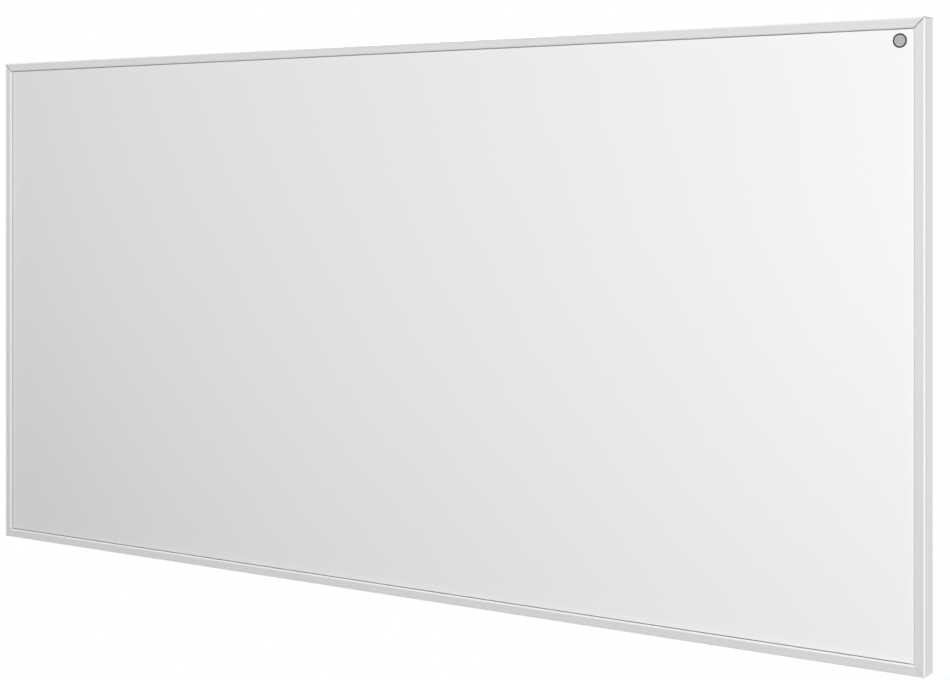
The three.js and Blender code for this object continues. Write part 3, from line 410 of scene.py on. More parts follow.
# %% Laminate, copper, foil and felt
def laminate_board():
    f = Finish("laminate")
    weave = f.node("ShaderNodeTexChecker", {}, {"Vector": f.place(), "Scale": 1 / (1.2 * MM)}, "Fac")
    cloud = f.noise(30 * MM, detail=3.0)
    colour = f.blend(cloud, (0.020, 0.018, 0.015, 1), (0.034, 0.030, 0.025, 1))
    relief = f.bump(weave, 0.02 * MM, 0.5)
    return f.surface(base_color=colour, roughness=0.42 + cloud * 0.15, normal=relief)


def tarnished_copper():
    f = Finish("copper")
    tarnish = f.noise(6 * MM, detail=4.0, rough=0.6).within(0.42, 0.70)
    rolled = f.noise(0.2 * MM, detail=2.0, stretch=(0.01, 1, 1))
    colour = f.blend(tarnish, (0.72, 0.33, 0.18, 1), (0.33, 0.15, 0.09, 1))
    relief = f.bump(rolled, 0.01 * MM)
    return f.surface(base_color=colour, metallic=0.95, roughness=0.28 + tarnish * 0.25, normal=relief)


def crumpled_foil():
    f = Finish("foil")
    creases = f.cells(7 * MM)
    fine = f.noise(2.5 * MM, detail=3.0)
    colour = f.blend(fine, grey(0.66), grey(0.78))
    relief = f.bump(creases * 0.7 + fine * 0.3, 0.3 * MM, 0.7)
    return f.surface(base_color=colour, metallic=0.95, roughness=0.22 + fine * 0.12, normal=relief)


def needled_felt():
    f = Finish("insulation")
    across = f.noise(0.25 * MM, detail=3.0, stretch=(0.12, 1, 1))
    upright = f.noise(0.25 * MM, detail=3.0, stretch=(1, 1, 0.12))
    clump = f.noise(5 * MM, detail=2.0)
    fibres = across * 0.5 + upright * 0.5
    colour = f.blend(fibres.within(0.35, 0.65), (0.60, 0.56, 0.47, 1), (0.84, 0.80, 0.71, 1))
    relief = f.bump(fibres * 0.6 + clump * 0.4, 0.3 * MM, 0.8)
    return f.surface(base_color=colour, roughness=0.92 + clump * 0.05, normal=relief)


# %% [markdown]
# ## Soft finishes: silicone and rubber
#
# Silicone never shines, and it gathers dust: a pale fleck over a flat colour, and a roughness that
# wanders, are enough for the leads' insulation and the gland's rubber. The edge seal is the same,
# but its strips along the rails are painted dark as the gap's painted shade, and its upright strips
# are paler.

# %% Silicone and rubber
def silicone(name, colour, rough):
    f = Finish(name)
    dust = f.noise(0.35 * MM, detail=3.0, rough=0.6).within(0.60, 0.82)
    wave = f.noise(7 * MM, detail=2.0)
    pale = tuple(min(1.0, c * 1.3 + 0.04) for c in colour[:3]) + (1,)
    dark = tuple(c * 0.88 for c in colour[:3]) + (1,)
    skin = f.blend(wave, dark, colour)
    relief = f.bump(wave * 0.5 + dust * 0.5, 0.03 * MM, 0.5)
    dusted = f.blend(dust * 0.4, skin, pale)
    return f.surface(base_color=dusted, roughness=rough + dust * 0.15, normal=relief)


# %% Edge seal
UPRIGHT_REACH = 12 * MM


def seal_strip():
    f = Finish("edge_seal")
    dust = f.noise(0.35 * MM, detail=3.0, rough=0.6).within(0.60, 0.82)
    wave = f.noise(7 * MM, detail=2.0)
    # Painted shade: the strips along the rails are dark as the gap's shade, and the upright strips
    # are paler where the light reaches them.
    upright = abs(f.along("X")).over(PANEL_HALF_WIDTH - UPRIGHT_REACH)
    strip = f.blend(upright, grey(0.16, -0.01), grey(0.60, -0.01))
    colour = f.blend(dust * 0.3 + wave * 0.1, strip, grey(0.45))
    relief = f.bump(wave * 0.5 + dust * 0.5, 0.03 * MM, 0.5)
    return f.surface(base_color=colour, roughness=0.72 + dust * 0.15, normal=relief)


# %% Give every CAD node its finish by the record's slot
FINISHES = {
    "front_coat": front_coat(),
    "frame_aluminium": frame_aluminium("frame_rails", "X"),
    "edge_seal": seal_strip(),
    "rear_coat": rear_coat(),
    "zinc_steel": zinc_steel(),
    "laminate": laminate_board(),
    "copper": tarnished_copper(),
    "foil": crumpled_foil(),
    "insulation": needled_felt(),
    "phenolic": moulded("phenolic", 0.035, 0.08, 0.42, 0.5 * MM),
    "lead_brown": silicone("lead_brown", (0.15, 0.05, 0.02, 1), 0.5),
    "lead_blue": silicone("lead_blue", (0.03, 0.11, 0.38, 1), 0.5),
    "lead_green": silicone("lead_green", (0.20, 0.35, 0.03, 1), 0.5),
    "box_plastic": moulded("box_plastic", 0.76, 0.006, 0.46, 0.35 * MM),
    "terminal_plastic": moulded("terminal_plastic", 0.72, 0.02, 0.44, 0.4 * MM),
    "gland_nylon": moulded("gland_nylon", 0.095, -0.02, 0.38, 0.3 * MM),
    "gland_rubber": silicone("gland_rubber", (0.015, 0.015, 0.016, 1), 0.62),
    "spacer_nylon": moulded("spacer_nylon", 0.68, 0.012, 0.36, 0.45 * MM),
}
STILE_FINISH = frame_aluminium("frame_stiles", "Z")

slots = {part["node"]: part["material_slot"] for part in frame["record"]["subparts"]}
for name, node in frame["nodes"].items():
    node.data.materials.clear()
    node.data.materials.append(STILE_FINISH if "stile" in name else FINISHES[slots[name]])
print(len(slots), "nodes dressed in", len(FINISHES), "finishes")

# %% [markdown]
# ## Turning a bmesh into a piece
#
# Every piece below ends the same way. Its doubles are merged, its faces are turned outwards, and it
# is shaded smooth except where two faces meet at more than a set angle, so round parts look round
# and sheet edges stay crisp. Faces larger than `flat_over` are shaded flat: a rounded edge would
# otherwise bend the light far into the flat face beside it. A piece's place is in its mesh; the
# object itself stays at the origin.

# %% Finish a piece
SHARP_ANGLE = math.radians(32)
SAME_POINT = 0.002 * MM


def make_piece(bm, name, body, slot, replaced=(), finish=None, flat_over=math.inf):
    bmesh.ops.remove_doubles(bm, verts=bm.verts, dist=SAME_POINT)
    bmesh.ops.recalc_face_normals(bm, faces=bm.faces)
    for face in bm.faces:
        face.smooth = face.calc_area() < flat_over
    for edge in bm.edges:
        edge.smooth = edge.is_manifold and edge.calc_face_angle() < SHARP_ANGLE
    open_edges = sum(not edge.is_manifold for edge in bm.edges)
    data = bpy.data.meshes.new(name)
    bm.to_mesh(data)
    bm.free()
    data.materials.append(finish or FINISHES[slot])
    piece = bpy.data.objects.new(name, data)
    bpy.context.scene.collection.objects.link(piece)
    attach(piece, body)
    if replaced:
        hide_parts(*replaced)
    print(f"{name}: {len(data.polygons)} faces, {open_edges} open edges")
    return piece


# %% Small bmesh helpers
def verts_of(result):
    return [item for item in result["geom"] if isinstance(item, bmesh.types.BMVert)]


def edges_of(result):
    return [item for item in result["geom"] if isinstance(item, bmesh.types.BMEdge)]


def round_edges(bm, edges, radius, segments, clamp=False):
    bmesh.ops.bevel(
        bm, geom=edges, offset=radius, offset_type="OFFSET", segments=segments, profile=0.5,
        affect="EDGES", clamp_overlap=clamp, material=-1,
    )


def cut_away(bm, point, outward):
    """Takes off what is beyond a plane, and closes the cut."""
    everything = bm.verts[:] + bm.edges[:] + bm.faces[:]
    bmesh.ops.bisect_plane(bm, geom=everything, plane_co=point, plane_no=outward, clear_outer=True)
    bmesh.ops.holes_fill(bm, edges=[edge for edge in bm.edges if edge.is_boundary])


# %% [markdown]
# ## Frame rails: one section, swept and mitred
#
# An extruded rail is a drawing pushed through a die, so it is made like one: the section is drawn
# once as a single face, swept along the rail, and then cut at 45 degrees at both ends with
# `bisect_plane`, as the saw does. The rounded edges come from `bevel` before the cuts, so that they
# run into the mitre cleanly. All four sides share the drawing; each is turned a quarter about Y.

# %% Rail section
SEAT = 0.3 * MM  # clearance between pieces that seat on each other
LIP_WIDTH = 10 * MM
LIP_DEPTH = 2 * MM
LIP_WALL = 1.2 * MM
OUTER_WALL = 1.4 * MM
RIB_WALL = 1.2 * MM
KEY_RETURN = 2.2 * MM
FLANGE_WALL = 1.4 * MM
EDGE_RADIUS = 1 * MM
LIP_RADIUS = 1 * MM
BACK_RADIUS = 0.35 * MM
MITRE_GAP = 0.14 * MM
OUTER_SEGMENTS = 6
LIP_SEGMENTS = 4
BACK_SEGMENTS = 2
ON_LINE = 0.01 * MM  # how far off a corner's line a vertex may lie
FLAT_STRIP = 0.8 * MM  # faces wider than this along a rail are shaded flat

frame_front = panel_low.y
frame_depth = panel_high.y - panel_low.y
flange_reach = panel_high.z - panel_low.z
rib_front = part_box("heating_laminate")[1].y + SEAT - frame_front
rib_back = rib_front + RIB_WALL
flange_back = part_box("earth_stud")[1].y - frame_front
flange_front = flange_back - FLANGE_WALL
inside = LIP_WIDTH - RIB_WALL
SECTION = [
    (0, 0), (LIP_WIDTH, 0), (LIP_WIDTH, LIP_DEPTH), (LIP_WIDTH - LIP_WALL, LIP_DEPTH),
    (LIP_WIDTH - LIP_WALL, OUTER_WALL), (OUTER_WALL, OUTER_WALL), (OUTER_WALL, rib_front),
    (LIP_WIDTH, rib_front), (LIP_WIDTH, rib_back + KEY_RETURN), (inside, rib_back + KEY_RETURN),
    (inside, rib_back), (OUTER_WALL, rib_back), (OUTER_WALL, flange_front), (inside, flange_front),
    (inside, flange_front - KEY_RETURN), (LIP_WIDTH, flange_front - KEY_RETURN),
    (LIP_WIDTH, flange_front), (flange_reach, flange_front), (flange_reach, flange_back),
    (OUTER_WALL, flange_back), (OUTER_WALL, frame_depth), (0, frame_depth),
]
print(f"section: {len(SECTION)} corners, {flange_reach / MM:.1f} x {frame_depth / MM:.1f} mm")


# %% Frame rails
def frame_rail(name, turns, length, reach, finish):
    bm = bmesh.new()
    outline = [bm.verts.new((-length / 2, frame_front + d, reach - u)) for u, d in SECTION]
    drawing = bm.faces.new(outline)
    swept = bmesh.ops.extrude_face_region(bm, geom=[drawing])
    bmesh.ops.translate(bm, verts=verts_of(swept), vec=(length, 0, 0))

    def edges_at(u, d):
        def on_line(vert):
            return abs(vert.co.z - (reach - u)) + abs(vert.co.y - (frame_front + d)) < ON_LINE
        return [edge for edge in bm.edges if all(on_line(vert) for vert in edge.verts)]

    round_edges(bm, edges_at(0, 0), EDGE_RADIUS, OUTER_SEGMENTS)
    round_edges(bm, edges_at(LIP_WIDTH, 0), LIP_RADIUS, LIP_SEGMENTS)
    back = edges_at(0, frame_depth) + edges_at(OUTER_WALL, frame_depth)
    round_edges(bm, back, BACK_RADIUS, BACK_SEGMENTS)
    for end in (-1, 1):
        corner = (end * (length / 2 - MITRE_GAP * math.sqrt(0.5)), 0, reach)
        cut_away(bm, corner, (end, 0, -1))
    quarters = Matrix.Rotation(turns * math.pi / 2, 3, "Y")
    bmesh.ops.rotate(bm, verts=bm.verts, cent=(0, 0, 0), matrix=quarters)
    drawn_name = name.replace("frame", "drawn")
    strip = length * FLAT_STRIP
    return make_piece(bm, drawn_name, "heater", "frame_aluminium", [name], finish, flat_over=strip)


full_width, full_height = 2 * PANEL_HALF_WIDTH, 2 * PANEL_HALF_HEIGHT
for turns, (name, length, reach, finish) in enumerate([
    ("frame_top_rail", full_width, PANEL_HALF_HEIGHT, FINISHES["frame_aluminium"]),
    ("frame_right_stile", full_height, PANEL_HALF_WIDTH, STILE_FINISH),
    ("frame_bottom_rail", full_width, PANEL_HALF_HEIGHT, FINISHES["frame_aluminium"]),
    ("frame_left_stile", full_height, PANEL_HALF_WIDTH, STILE_FINISH),
]):
    frame_rail(name, turns, length, reach, finish)

# %% [markdown]
# ## The mark on the plate
#
# A small printed ring with a plain disc in it sits near the top right corner. Ink stands a few
# hundredths of a millimetre proud, so both are thin solids: a circle, inset for the ring, and
# extruded. Printing it in the plate's own finish would need a mask with two radii instead, and its
# edge would not catch the light.

# %% Printed mark
MARK_PLACE = (575.6 * MM, 279.3 * MM)
MARK_RADIUS = 6.75 * MM
MARK_LINE = 1.5 * MM
INK = 0.04 * MM
MARK_SIDES = 64

plate_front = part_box("front_panel")[0].y


def ink_finish(name, level):
    f = Finish(name)
    speckle = f.noise(0.12 * MM, detail=3.0, rough=0.6)
    patchy = f.blend(speckle.within(0.45, 0.75), grey(level), grey(level * 1.3 + 0.01))
    relief = f.bump(speckle, 0.008 * MM, 0.5)
    return f.surface(base_color=patchy, roughness=0.42 + speckle * 0.15, normal=relief)


def printed(name, outer, inner, finish):
    bm = bmesh.new()
    place = Matrix.Translation((MARK_PLACE[0], plate_front, MARK_PLACE[1]))
    facing = place @ Matrix.Rotation(math.pi / 2, 4, "X")
    bmesh.ops.create_circle(bm, cap_ends=True, radius=outer, segments=MARK_SIDES, matrix=facing)
    if inner:
        bmesh.ops.inset_region(
            bm, faces=bm.faces[:], thickness=outer - inner, use_boundary=True, use_even_offset=True
        )
        middle = max(bm.faces, key=lambda face: len(face.verts))
        bmesh.ops.delete(bm, geom=[middle], context="FACES_ONLY")
    raised = bmesh.ops.extrude_face_region(bm, geom=bm.faces[:])
    bmesh.ops.translate(bm, verts=verts_of(raised), vec=(0, -INK, 0))
    return make_piece(bm, name, "heater", "front_coat", finish=finish)


printed("mark_ring", MARK_RADIUS, MARK_RADIUS - MARK_LINE, ink_finish("mark_dark", 0.02))
printed("mark_disc", MARK_RADIUS - MARK_LINE, 0, ink_finish("mark_pale", 0.40))

# %% [markdown]
# ## Screws with cross recesses
#
# One builder makes all eighteen screws. It starts from the recess, a plus of grid faces. The plus's
# edge is pulled up to the crown and bridged to a circle a little below it: with both at one height
# the bridge can't tell which way round they run, and may cross itself. The circle is then extruded
# ring by ring down the head and the shank to the point. Cutting the recess with a boolean would be
# shorter, but leaves slivers that shade badly.
#
# A small triangle, spun with a step along the axis, winds the thread on. Its crest is drawn in over
# the first and last turn, and over the point, as a rolled thread runs out.

# %% What the model says of a node
def nodes_named(part):
    return [name for name in frame["nodes"] if part in name]


def middle_of(name):
    low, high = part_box(name)
    return (low + high) / 2


def width_of(name):
    low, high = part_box(name)
    return high.x - low.x


def length_of(name):
    low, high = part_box(name)
    return high.y - low.y


# %% Thread
THREAD_STEPS = 18
TOOTH_SHARE = 0.2
ROOT_SHARE = 0.9  # the tooth's root lies a little inside the core, so no gap shows


def moved(bm, verts, scale, rise):
    bmesh.ops.scale(bm, verts=verts, vec=(scale, scale, 1))
    bmesh.ops.translate(bm, verts=verts, vec=(0, 0, rise))


def wind_thread(bm, low, high, core, crest, pitch, tip_share, tip_height):
    """Winds a tooth from low to high; below tip_height it narrows to tip_share, as the shank does."""
    shank = set(bm.verts)
    root = core * ROOT_SHARE
    half = pitch * TOOTH_SHARE
    corners = ((root, 0, low - half), (crest, 0, low), (root, 0, low + half))
    tooth = bm.faces.new([bm.verts.new(corner) for corner in corners])
    turns = (high - low) / pitch
    steps = round(turns * THREAD_STEPS)
    bmesh.ops.spin(
        bm, geom=[tooth], cent=(0, 0, 0), axis=(0, 0, 1), angle=turns * math.tau, steps=steps,
        dvec=(0, 0, (high - low) / steps),
    )
    for vert in bm.verts:
        if vert in shank:
            continue
        height = vert.co.z
        ran_in = max(0.0, min(1.0, (height - low) / pitch, (high - height) / pitch))
        across = math.hypot(vert.co.x, vert.co.y)
        share = 1.0 if across < core else (root + (crest - root) * ran_in) / crest
        share *= tip_share + (1 - tip_share) * min(1.0, max(0.0, height) / tip_height)
        vert.co.x *= share
        vert.co.y *= share


# %% Screw builder
SCREW_SIDES = 24
RECESS_TAPER = 0.72  # the recess's floor is this much smaller than its mouth


def screw(name, towards_wall, rings, arm, slot_width, deep, thread, body="heater"):
    """Rings are (radius, height), from the crown's middle down to the point."""
    low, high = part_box(name)
    point = Vector(middle_of(name))
    point.y = low.y if towards_wall else high.y
    bm = bmesh.new()
    (_, top), (crown_radius, crown_height), *_ = rings
    bmesh.ops.create_grid(bm, x_segments=3, y_segments=3, size=arm * RECESS_TAPER)
    for vert in bm.verts:
        for axis in range(2):
            if abs(vert.co[axis]) < arm * RECESS_TAPER / 2:
                vert.co[axis] = math.copysign(slot_width / 2, vert.co[axis])
    corners = [
        face for face in bm.faces
        if all(abs(c) > slot_width / 2 for c in face.calc_center_median()[:2])
    ]
    bmesh.ops.delete(bm, geom=corners, context="FACES")
    bmesh.ops.translate(bm, verts=bm.verts, vec=(0, 0, top - deep))
    rim = bmesh.ops.extrude_edge_only(bm, edges=[edge for edge in bm.edges if edge.is_boundary])
    moved(bm, verts_of(rim), 1 / RECESS_TAPER, deep)
    circle = bmesh.ops.create_circle(
        bm, radius=crown_radius, segments=SCREW_SIDES, matrix=Matrix.Translation((0, 0, crown_height))
    )
    loop = [edge for edge in bm.edges if all(vert in circle["verts"] for vert in edge.verts)]
    bmesh.ops.bridge_loops(bm, edges=edges_of(rim) + loop)
    for (radius, height), (next_radius, next_height) in zip(rings[1:], rings[2:]):
        ring = bmesh.ops.extrude_edge_only(bm, edges=loop)
        moved(bm, verts_of(ring), next_radius / radius, next_height - height)
        loop = edges_of(ring)
    bmesh.ops.holes_fill(bm, edges=loop)
    wind_thread(bm, **thread, tip_share=rings[-1][0] / rings[-2][0], tip_height=rings[-2][1])
    tilt = -math.pi / 2 if towards_wall else math.pi / 2
    bmesh.ops.rotate(bm, verts=bm.verts, cent=(0, 0, 0), matrix=Matrix.Rotation(tilt, 3, "X"))
    bmesh.ops.translate(bm, verts=bm.verts, vec=point)
    return make_piece(bm, "turned_" + name, body, "zinc_steel", [name])


# %% Pan head
DOME_STEPS = 4
DOME_FOOT = 0.35  # heights, as shares of the head's: where the oval ends at the edge,
DOME_RISE = 0.62  # how far it rises from there to the crown's rim,
EDGE_FOOT = 0.12  # and where the upright edge ends
UNDERCUT = 0.96


def pan_head(radius, crown_radius, height, under):
    """Rings from the crown's middle, by a quarter of an oval, to the edge and the underside."""
    rings = [(0, under + height)]
    for i in range(DOME_STEPS + 1):
        turn = i / DOME_STEPS * math.pi / 2
        across = crown_radius + (radius - crown_radius) * math.sin(turn)
        rings.append((across, under + height * (DOME_FOOT + DOME_RISE * math.cos(turn))))
    return rings + [(radius, under + EDGE_FOOT * height), (radius * UNDERCUT, under)]


# %% Rear cover screws
for name in nodes_named("rear_cover_screw"):
    head = 2.9 * MM
    tall = 1.9 * MM
    crest = 1.45 * MM
    under = length_of(name) - tall
    shank = [(crest, under), (crest, 0.8 * MM), (crest * 0.6, 0)]
    thread = {
        "low": 0.9 * MM, "high": under - 0.5 * MM,
        "core": 1.3 * MM, "crest": crest, "pitch": 0.9 * MM,
    }
    rings = pan_head(head, head * 0.62, tall, under) + shank
    screw(name, True, rings, arm=1.55 * MM, slot_width=0.62 * MM, deep=1.2 * MM, thread=thread)

# %% Lid screws
for name in nodes_named("box_lid_screw"):
    head = width_of(name) / 2
    tall = 1.1 * MM
    core = 1.1 * MM
    under = length_of(name) - tall
    shank = [(core, under), (core, 1 * MM), (0.7 * MM, 0)]
    thread = {
        "low": 1.2 * MM, "high": under - 0.6 * MM,
        "core": core, "crest": 1.25 * MM, "pitch": 1.1 * MM,
    }
    rings = pan_head(head, head * 0.66, tall, under) + shank
    screw(name, True, rings, arm=1.4 * MM, slot_width=0.55 * MM, deep=0.8 * MM, thread=thread)

# %% Wall screws
for name in nodes_named("wall_screw"):
    head = width_of(name) / 2
    tall = 3.2 * MM
    core = 1.8 * MM
    crest = 2.5 * MM
    under = length_of(name) - tall
    in_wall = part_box(name)[1].y
    shank = [
        (crest, under), (crest, in_wall - 2 * MM), (1.9 * MM, in_wall - 5 * MM),
        (core, 7 * MM), (0.1 * MM, 0),
    ]
    thread = {
        "low": 2 * MM, "high": in_wall - 6 * MM,
        "core": core, "crest": crest, "pitch": 2.2 * MM,
    }
    rings = pan_head(head, head * 0.6, tall, under) + shank
    recess = {"arm": 2.7 * MM, "slot_width": 1 * MM, "deep": 2.2 * MM}
    screw(name, False, rings, thread=thread, body="wall_fixings", **recess)

# %% [markdown]
# ## Turned and moulded round parts
#
# A spacer, a rivet and every part of the gland is a profile turned about an axis, so one helper
# spins them. Hexagons are cut afterwards: a round bar with chamfered ends, sliced by six planes, gets
# the curved corners that a real nut has, which a six-sided prism would lack.

# %% Spin helper
def turned(profile, axis, segments, closed=False):
    bm = bmesh.new()
    axis = Vector(axis)
    verts = [bm.verts.new(Vector((radius, 0, 0)) + axis * height) for radius, height in profile]
    ends = list(zip(verts, verts[1:] + verts[:1] if closed else verts[1:]))
    edges = [bm.edges.new(pair) for pair in ends]
    bmesh.ops.spin(
        bm, geom=verts + edges, cent=(0, 0, 0), axis=axis, angle=math.tau, steps=segments,
        use_merge=True,
    )
    bmesh.ops.remove_doubles(bm, verts=bm.verts, dist=SAME_POINT)
    return bm


def arc(centre_radius, centre_height, radius, start, end, steps):
    """Points of a profile along an arc between two angles in degrees; 0 is away from the axis."""
    points = []
    for i in range(steps + 1):
        t = math.radians(start + (end - start) * i / steps)
        points.append((centre_radius + radius * math.cos(t), centre_height + radius * math.sin(t)))
    return points


# %% Wall spacers: a foot, and a post that the bracket rests on
SPACER_SIDES = 48
SPACER_BORE = 2.8 * MM
POST_RADIUS = 9 * MM
FOOT_THICKNESS = 2 * MM
WALL_ROUND = 0.4 * MM
FOOT_ROUND = 0.6 * MM
FILLET = 1 * MM
NOSE_ROUND = 0.8 * MM
BORE_ROUND = 0.3 * MM

for name in nodes_named("wall_spacer"):
    foot = width_of(name) / 2
    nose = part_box(name)[0].y
    profile = [
        (SPACER_BORE, 0),
        *arc(foot - WALL_ROUND, -WALL_ROUND, WALL_ROUND, 90, 0, 3),
        *arc(foot - FOOT_ROUND, FOOT_ROUND - FOOT_THICKNESS, FOOT_ROUND, 0, -90, 4),
        *arc(POST_RADIUS + FILLET, -FOOT_THICKNESS - FILLET, FILLET, 90, 180, 5),
        *arc(POST_RADIUS - NOSE_ROUND, nose + NOSE_ROUND, NOSE_ROUND, 0, -90, 5),
        *arc(SPACER_BORE + BORE_ROUND, nose + BORE_ROUND, BORE_ROUND, 270, 180, 3),
    ]
    bm = turned(profile, (0, 1, 0), SPACER_SIDES, closed=True)
    bmesh.ops.translate(bm, verts=bm.verts, vec=(middle_of(name).x, 0, middle_of(name).z))
    make_piece(bm, "moulded_" + name, "wall_fixings", "spacer_nylon", [name])

# %% [markdown]
# ## Cable gland
#
# A nylon gland is a threaded body with a hexagon collar, a dome nut that squeezes a rubber seal, and
# a locknut inside the box. Each is one closed profile turned about the gland's axis, thread grooves
# included, and the three with hexagons are then cut by six planes. The grooves are plain rings: the
# helix would be hidden between the parts, where nobody can see it.

# %% Gland helpers
GLAND_SIDES = 72
FLAT_REACH = 7.5 * MM  # from the axis to a hexagon's flat, and to its rounded corner
CORNER_REACH = 8.45 * MM
CHAMFER = 0.4 * MM
GLAND_PITCH = 1.5 * MM
CREST_SHARE = 0.15  # of a pitch, from its start to the crest's edge
GLAND_FLAT = 12 * MM * MM


def grooved(crest, root, start, end):
    """Points of a thread's zigzag between two heights, from crest to root and back."""
    count = round(abs(end - start) / GLAND_PITCH)
    step = (end - start) / count
    places = ((crest, CREST_SHARE), (root, 0.5), (crest, 1 - CREST_SHARE))
    return [(radius, start + step * (i + share)) for i in range(count) for radius, share in places]


def hexagon_side(high, low):
    """Points down the outside of a bar that will be cut to a hexagon, chamfered at both ends."""
    rim = CORNER_REACH - CHAMFER
    return [(rim, high), (CORNER_REACH, high - CHAMFER), (CORNER_REACH, low + CHAMFER), (rim, low)]


def heights(name):
    return [corner.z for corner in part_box(name)]


def gland_part(name, profile, slot="gland_nylon", hexagon=True):
    bm = turned(profile, (0, 0, 1), GLAND_SIDES, closed=True)
    for turn in range(6 if hexagon else 0):
        outward = Matrix.Rotation(turn * math.pi / 3, 3, "Z") @ Vector((0, 1, 0))
        cut_away(bm, outward * FLAT_REACH, outward)
    middle = middle_of("cable_gland_body")
    bmesh.ops.translate(bm, verts=bm.verts, vec=(middle.x, middle.y, 0))
    make_piece(bm, "moulded_" + name, "heater", slot, [name], flat_over=GLAND_FLAT)


# %% Gland body and locknut
GLAND_BORE = 4.3 * MM
THREAD_CREST = 6 * MM
THREAD_ROOT = 5.5 * MM
TIP_RADIUS = 5.6 * MM
SEAL_POCKET = 5.2 * MM
COLLAR_HEIGHT = 5 * MM
NUT_CREST = 6.3 * MM
NUT_ROOT = 6.7 * MM
LOCKNUT_MOUTH = 6.5 * MM

body_low, body_high = heights("cable_gland_body")
nut_low, nut_high = heights("cable_gland_nut")
seal_low, seal_high = heights("cable_gland_seal")
locknut_low, locknut_high = heights("cable_gland_locknut")
collar_low = nut_high + SEAT
collar_high = collar_low + COLLAR_HEIGHT
pocket_floor = seal_high + SEAT

gland_part("cable_gland_body", [
    (GLAND_BORE, body_high), (THREAD_ROOT, body_high),
    *grooved(THREAD_CREST, THREAD_ROOT, body_high, collar_high),
    (THREAD_CREST, collar_high), *hexagon_side(collar_high, collar_low), (THREAD_CREST, collar_low),
    *grooved(THREAD_CREST, THREAD_ROOT, collar_low, body_low),
    (TIP_RADIUS, body_low), (SEAL_POCKET, body_low), (SEAL_POCKET, pocket_floor),
    (GLAND_BORE, pocket_floor),
])
gland_part("cable_gland_locknut", [
    (LOCKNUT_MOUTH, locknut_high), *hexagon_side(locknut_high, locknut_low),
    (LOCKNUT_MOUTH, locknut_low),
    *grooved(NUT_CREST, NUT_ROOT, locknut_low, locknut_high),
])

# %% Gland seal: a rubber ring, a little narrower past the body's tip
SEAL_BORE = 3.3 * MM
SEAL_RADIUS = SEAL_POCKET - SEAT
SEAL_TIP = 4.1 * MM
SEAL_ROUND = 0.3 * MM

gland_part("cable_gland_seal", [
    (SEAL_BORE, seal_high), (SEAL_RADIUS - SEAL_ROUND, seal_high),
    (SEAL_RADIUS, seal_high - SEAL_ROUND), (SEAL_RADIUS, body_low),
    *arc(SEAL_TIP - SEAL_ROUND, seal_low + SEAL_ROUND, SEAL_ROUND, 0, -90, 3),
    *arc(SEAL_BORE + SEAL_ROUND, seal_low + SEAL_ROUND, SEAL_ROUND, 270, 180, 3),
], "gland_rubber", hexagon=False)

# %% Gland nut: a hexagon that runs into a dome
HEXAGON_HEIGHT = 7.5 * MM
CORNER_CUT = 1 * MM
DOME_END = 5.4 * MM
GLAND_DOME_STEPS = 12
NUT_MOUTH = 6.6 * MM
NUT_BORE = 3.7 * MM
LIP_ROUND = 0.4 * MM
CONE_HEIGHT = 2.2 * MM

hexagon_low = nut_high - HEXAGON_HEIGHT
dome_top = hexagon_low - CORNER_CUT
bore_start = min(body_low, seal_low) - SEAT
quarter = [math.pi / 2 * i / GLAND_DOME_STEPS for i in range(GLAND_DOME_STEPS + 1)]
dome = [
    (DOME_END + (FLAT_REACH - DOME_END) * math.cos(t), dome_top + (nut_low - dome_top) * math.sin(t))
    for t in quarter
]
gland_part("cable_gland_nut", [
    (NUT_MOUTH, nut_high), (CORNER_REACH - CHAMFER, nut_high), (CORNER_REACH, nut_high - CHAMFER),
    (CORNER_REACH, hexagon_low), *dome,
    *arc(NUT_BORE + LIP_ROUND, nut_low + LIP_ROUND, LIP_ROUND, 270, 180, 5),
    (NUT_BORE, bore_start - CONE_HEIGHT), (NUT_CREST, bore_start),
    *grooved(NUT_CREST, NUT_ROOT, bore_start, nut_high),
])

# %% [markdown]
# ## Sheet and moulded parts from the model's own shapes
#
# The brackets, the rear cover and the junction box already have their true shape, with every hole,
# slot and boss. What a coarse mesh lacks is edges that catch the light. So each is copied, its
# coplanar triangles are joined again, and the brackets' and the box's sharp edges are bevelled by a
# hair: cut steel and moulded plastic never have a knife edge. The cover's own edges lie under the
# frame, so its copy is only shaded smooth over its beads. The hidden originals stay as they were.

# %% Copies with broken edges
COPLANAR = math.radians(0.6)
CRISP_ANGLE = math.radians(50)
STEEL_BREAK = 0.12 * MM
PLASTIC_BREAK = 0.18 * MM
SMALL_FLAT = 60 * MM * MM
COVER_FLAT = 6000 * MM * MM


def copied(name):
    bm = bmesh.new()
    bm.from_mesh(frame["nodes"][name].data)
    bmesh.ops.remove_doubles(bm, verts=bm.verts, dist=SAME_POINT)
    bmesh.ops.dissolve_limit(
        bm, angle_limit=COPLANAR, use_dissolve_boundaries=False, verts=bm.verts[:], edges=bm.edges[:]
    )
    return bm


def broken_edges(bm, radius, segments):
    crisp = [
        edge for edge in bm.edges
        if edge.is_manifold and edge.is_convex and edge.calc_face_angle() > CRISP_ANGLE
    ]
    round_edges(bm, crisp, radius, segments, clamp=True)


# %% Brackets, rear cover and junction box
for name in nodes_named("hanger_bracket"):
    bm = copied(name)
    broken_edges(bm, STEEL_BREAK, 1)
    make_piece(bm, "pressed_" + name, "heater", "zinc_steel", [name], flat_over=SMALL_FLAT)

cover = copied("rear_cover")
make_piece(cover, "pressed_rear_cover", "heater", "rear_coat", ["rear_cover"], flat_over=COVER_FLAT)

for name in ("junction_box_base", "junction_box_lid"):
    bm = copied(name)
    broken_edges(bm, PLASTIC_BREAK, 2)
    make_piece(bm, "moulded_" + name, "heater", "box_plastic", [name], flat_over=SMALL_FLAT)

# %% [markdown]
# ## Rivets
#
# The brackets are riveted through the cover: four domed heads on each. They are small and alike, so
# each bracket's four are one piece. A head is spun, moved to its hole and read into the piece's
# bmesh, four times over. Separate objects would work too, but sixteen of them only crowd the list.

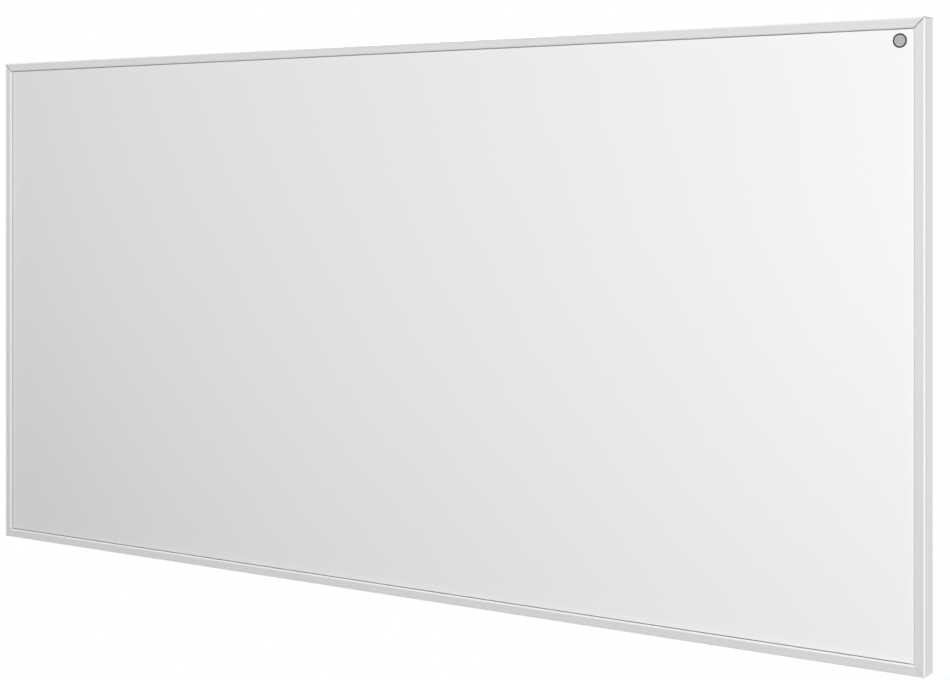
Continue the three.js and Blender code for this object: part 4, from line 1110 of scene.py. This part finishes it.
# %% Rivets on the brackets
RIVET_RADIUS = 3.1 * MM
RIVET_RISE = 1.1 * MM
RIVET_SIDES = 28
RIVET_CROWN = 0.45  # shares: the flat crown's radius, and the height of the upright edge
RIVET_EDGE = 0.15
RIVET_TURNS = (0.5, 0.9, 1.25, math.pi / 2)  # angles of the dome's rings
RIVET_PLACES = [(across * 25 * MM, up * 11 * MM) for across in (-1, 1) for up in (-1, 1)]
BRACKET_STEEL = 1.5 * MM

rivet = [(0, RIVET_RISE), (RIVET_RADIUS * RIVET_CROWN, RIVET_RISE)]
for t in RIVET_TURNS:
    across = RIVET_CROWN + (1 - RIVET_CROWN) * math.sin(t)
    rise = RIVET_EDGE + (1 - RIVET_EDGE) * math.cos(t)
    rivet.append((RIVET_RADIUS * across, RIVET_RISE * rise))
rivet += [(RIVET_RADIUS, 0), (0, 0)]

for name in nodes_named("hanger_bracket"):
    middle = middle_of(name)
    middle.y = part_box(name)[0].y + BRACKET_STEEL
    rivets = bmesh.new()
    for across, up in RIVET_PLACES:
        head = turned(rivet, (0, 1, 0), RIVET_SIDES)
        bmesh.ops.translate(head, verts=head.verts, vec=middle + Vector((across, 0, up)))
        head_data = bpy.data.meshes.new("rivet_head")
        head.to_mesh(head_data)
        head.free()
        rivets.from_mesh(head_data)
        bpy.data.meshes.remove(head_data)
    make_piece(rivets, name.replace("hanger_bracket", "rivets"), "heater", "zinc_steel")

# %% [markdown]
# ## Floor
#
# The heater hangs, so nothing touches the floor; it is there for the other views. A round disc
# that fades out at its rim needs no horizon, and from below it vanishes, so the underside of the
# panel can be looked at too.

# %% Floor
FLOOR_HEIGHT = -0.9
FLOOR_RADIUS = 1.5
FLOOR_SIDES = 96
FADE_START = 0.35  # shares of the radius between which the floor fades out
FADE_END = 0.98

floor_mesh = bmesh.new()
below = Matrix.Translation((0, 0, FLOOR_HEIGHT))
bmesh.ops.create_circle(
    floor_mesh, cap_ends=True, radius=FLOOR_RADIUS, segments=FLOOR_SIDES, matrix=below
)
floor_data = bpy.data.meshes.new("floor")
floor_mesh.to_mesh(floor_data)
floor_mesh.free()
floor = bpy.data.objects.new("floor", floor_data)
bpy.context.scene.collection.objects.link(floor)

f = Finish("floor")
on_floor = f.place((1, 1, 0))
from_middle = f.node("ShaderNodeVectorMath", {"operation": "LENGTH"}, {0: on_floor}, "Value")
underneath = f.node("ShaderNodeNewGeometry", {}, {}, "Backfacing")
faded = from_middle.within(FLOOR_RADIUS * FADE_START, FLOOR_RADIUS * FADE_END)
solid = (1 - faded) * (1 - underneath)
colour = f.blend(f.noise(0.3, detail=3.0), grey(0.78), grey(0.82))
floor_data.materials.append(f.surface(base_color=colour, roughness=0.8, alpha=solid))
floor.visible_diffuse = False
floor.visible_glossy = False
print(f"floor: {-FLOOR_HEIGHT:.1f} m below the panel's middle")
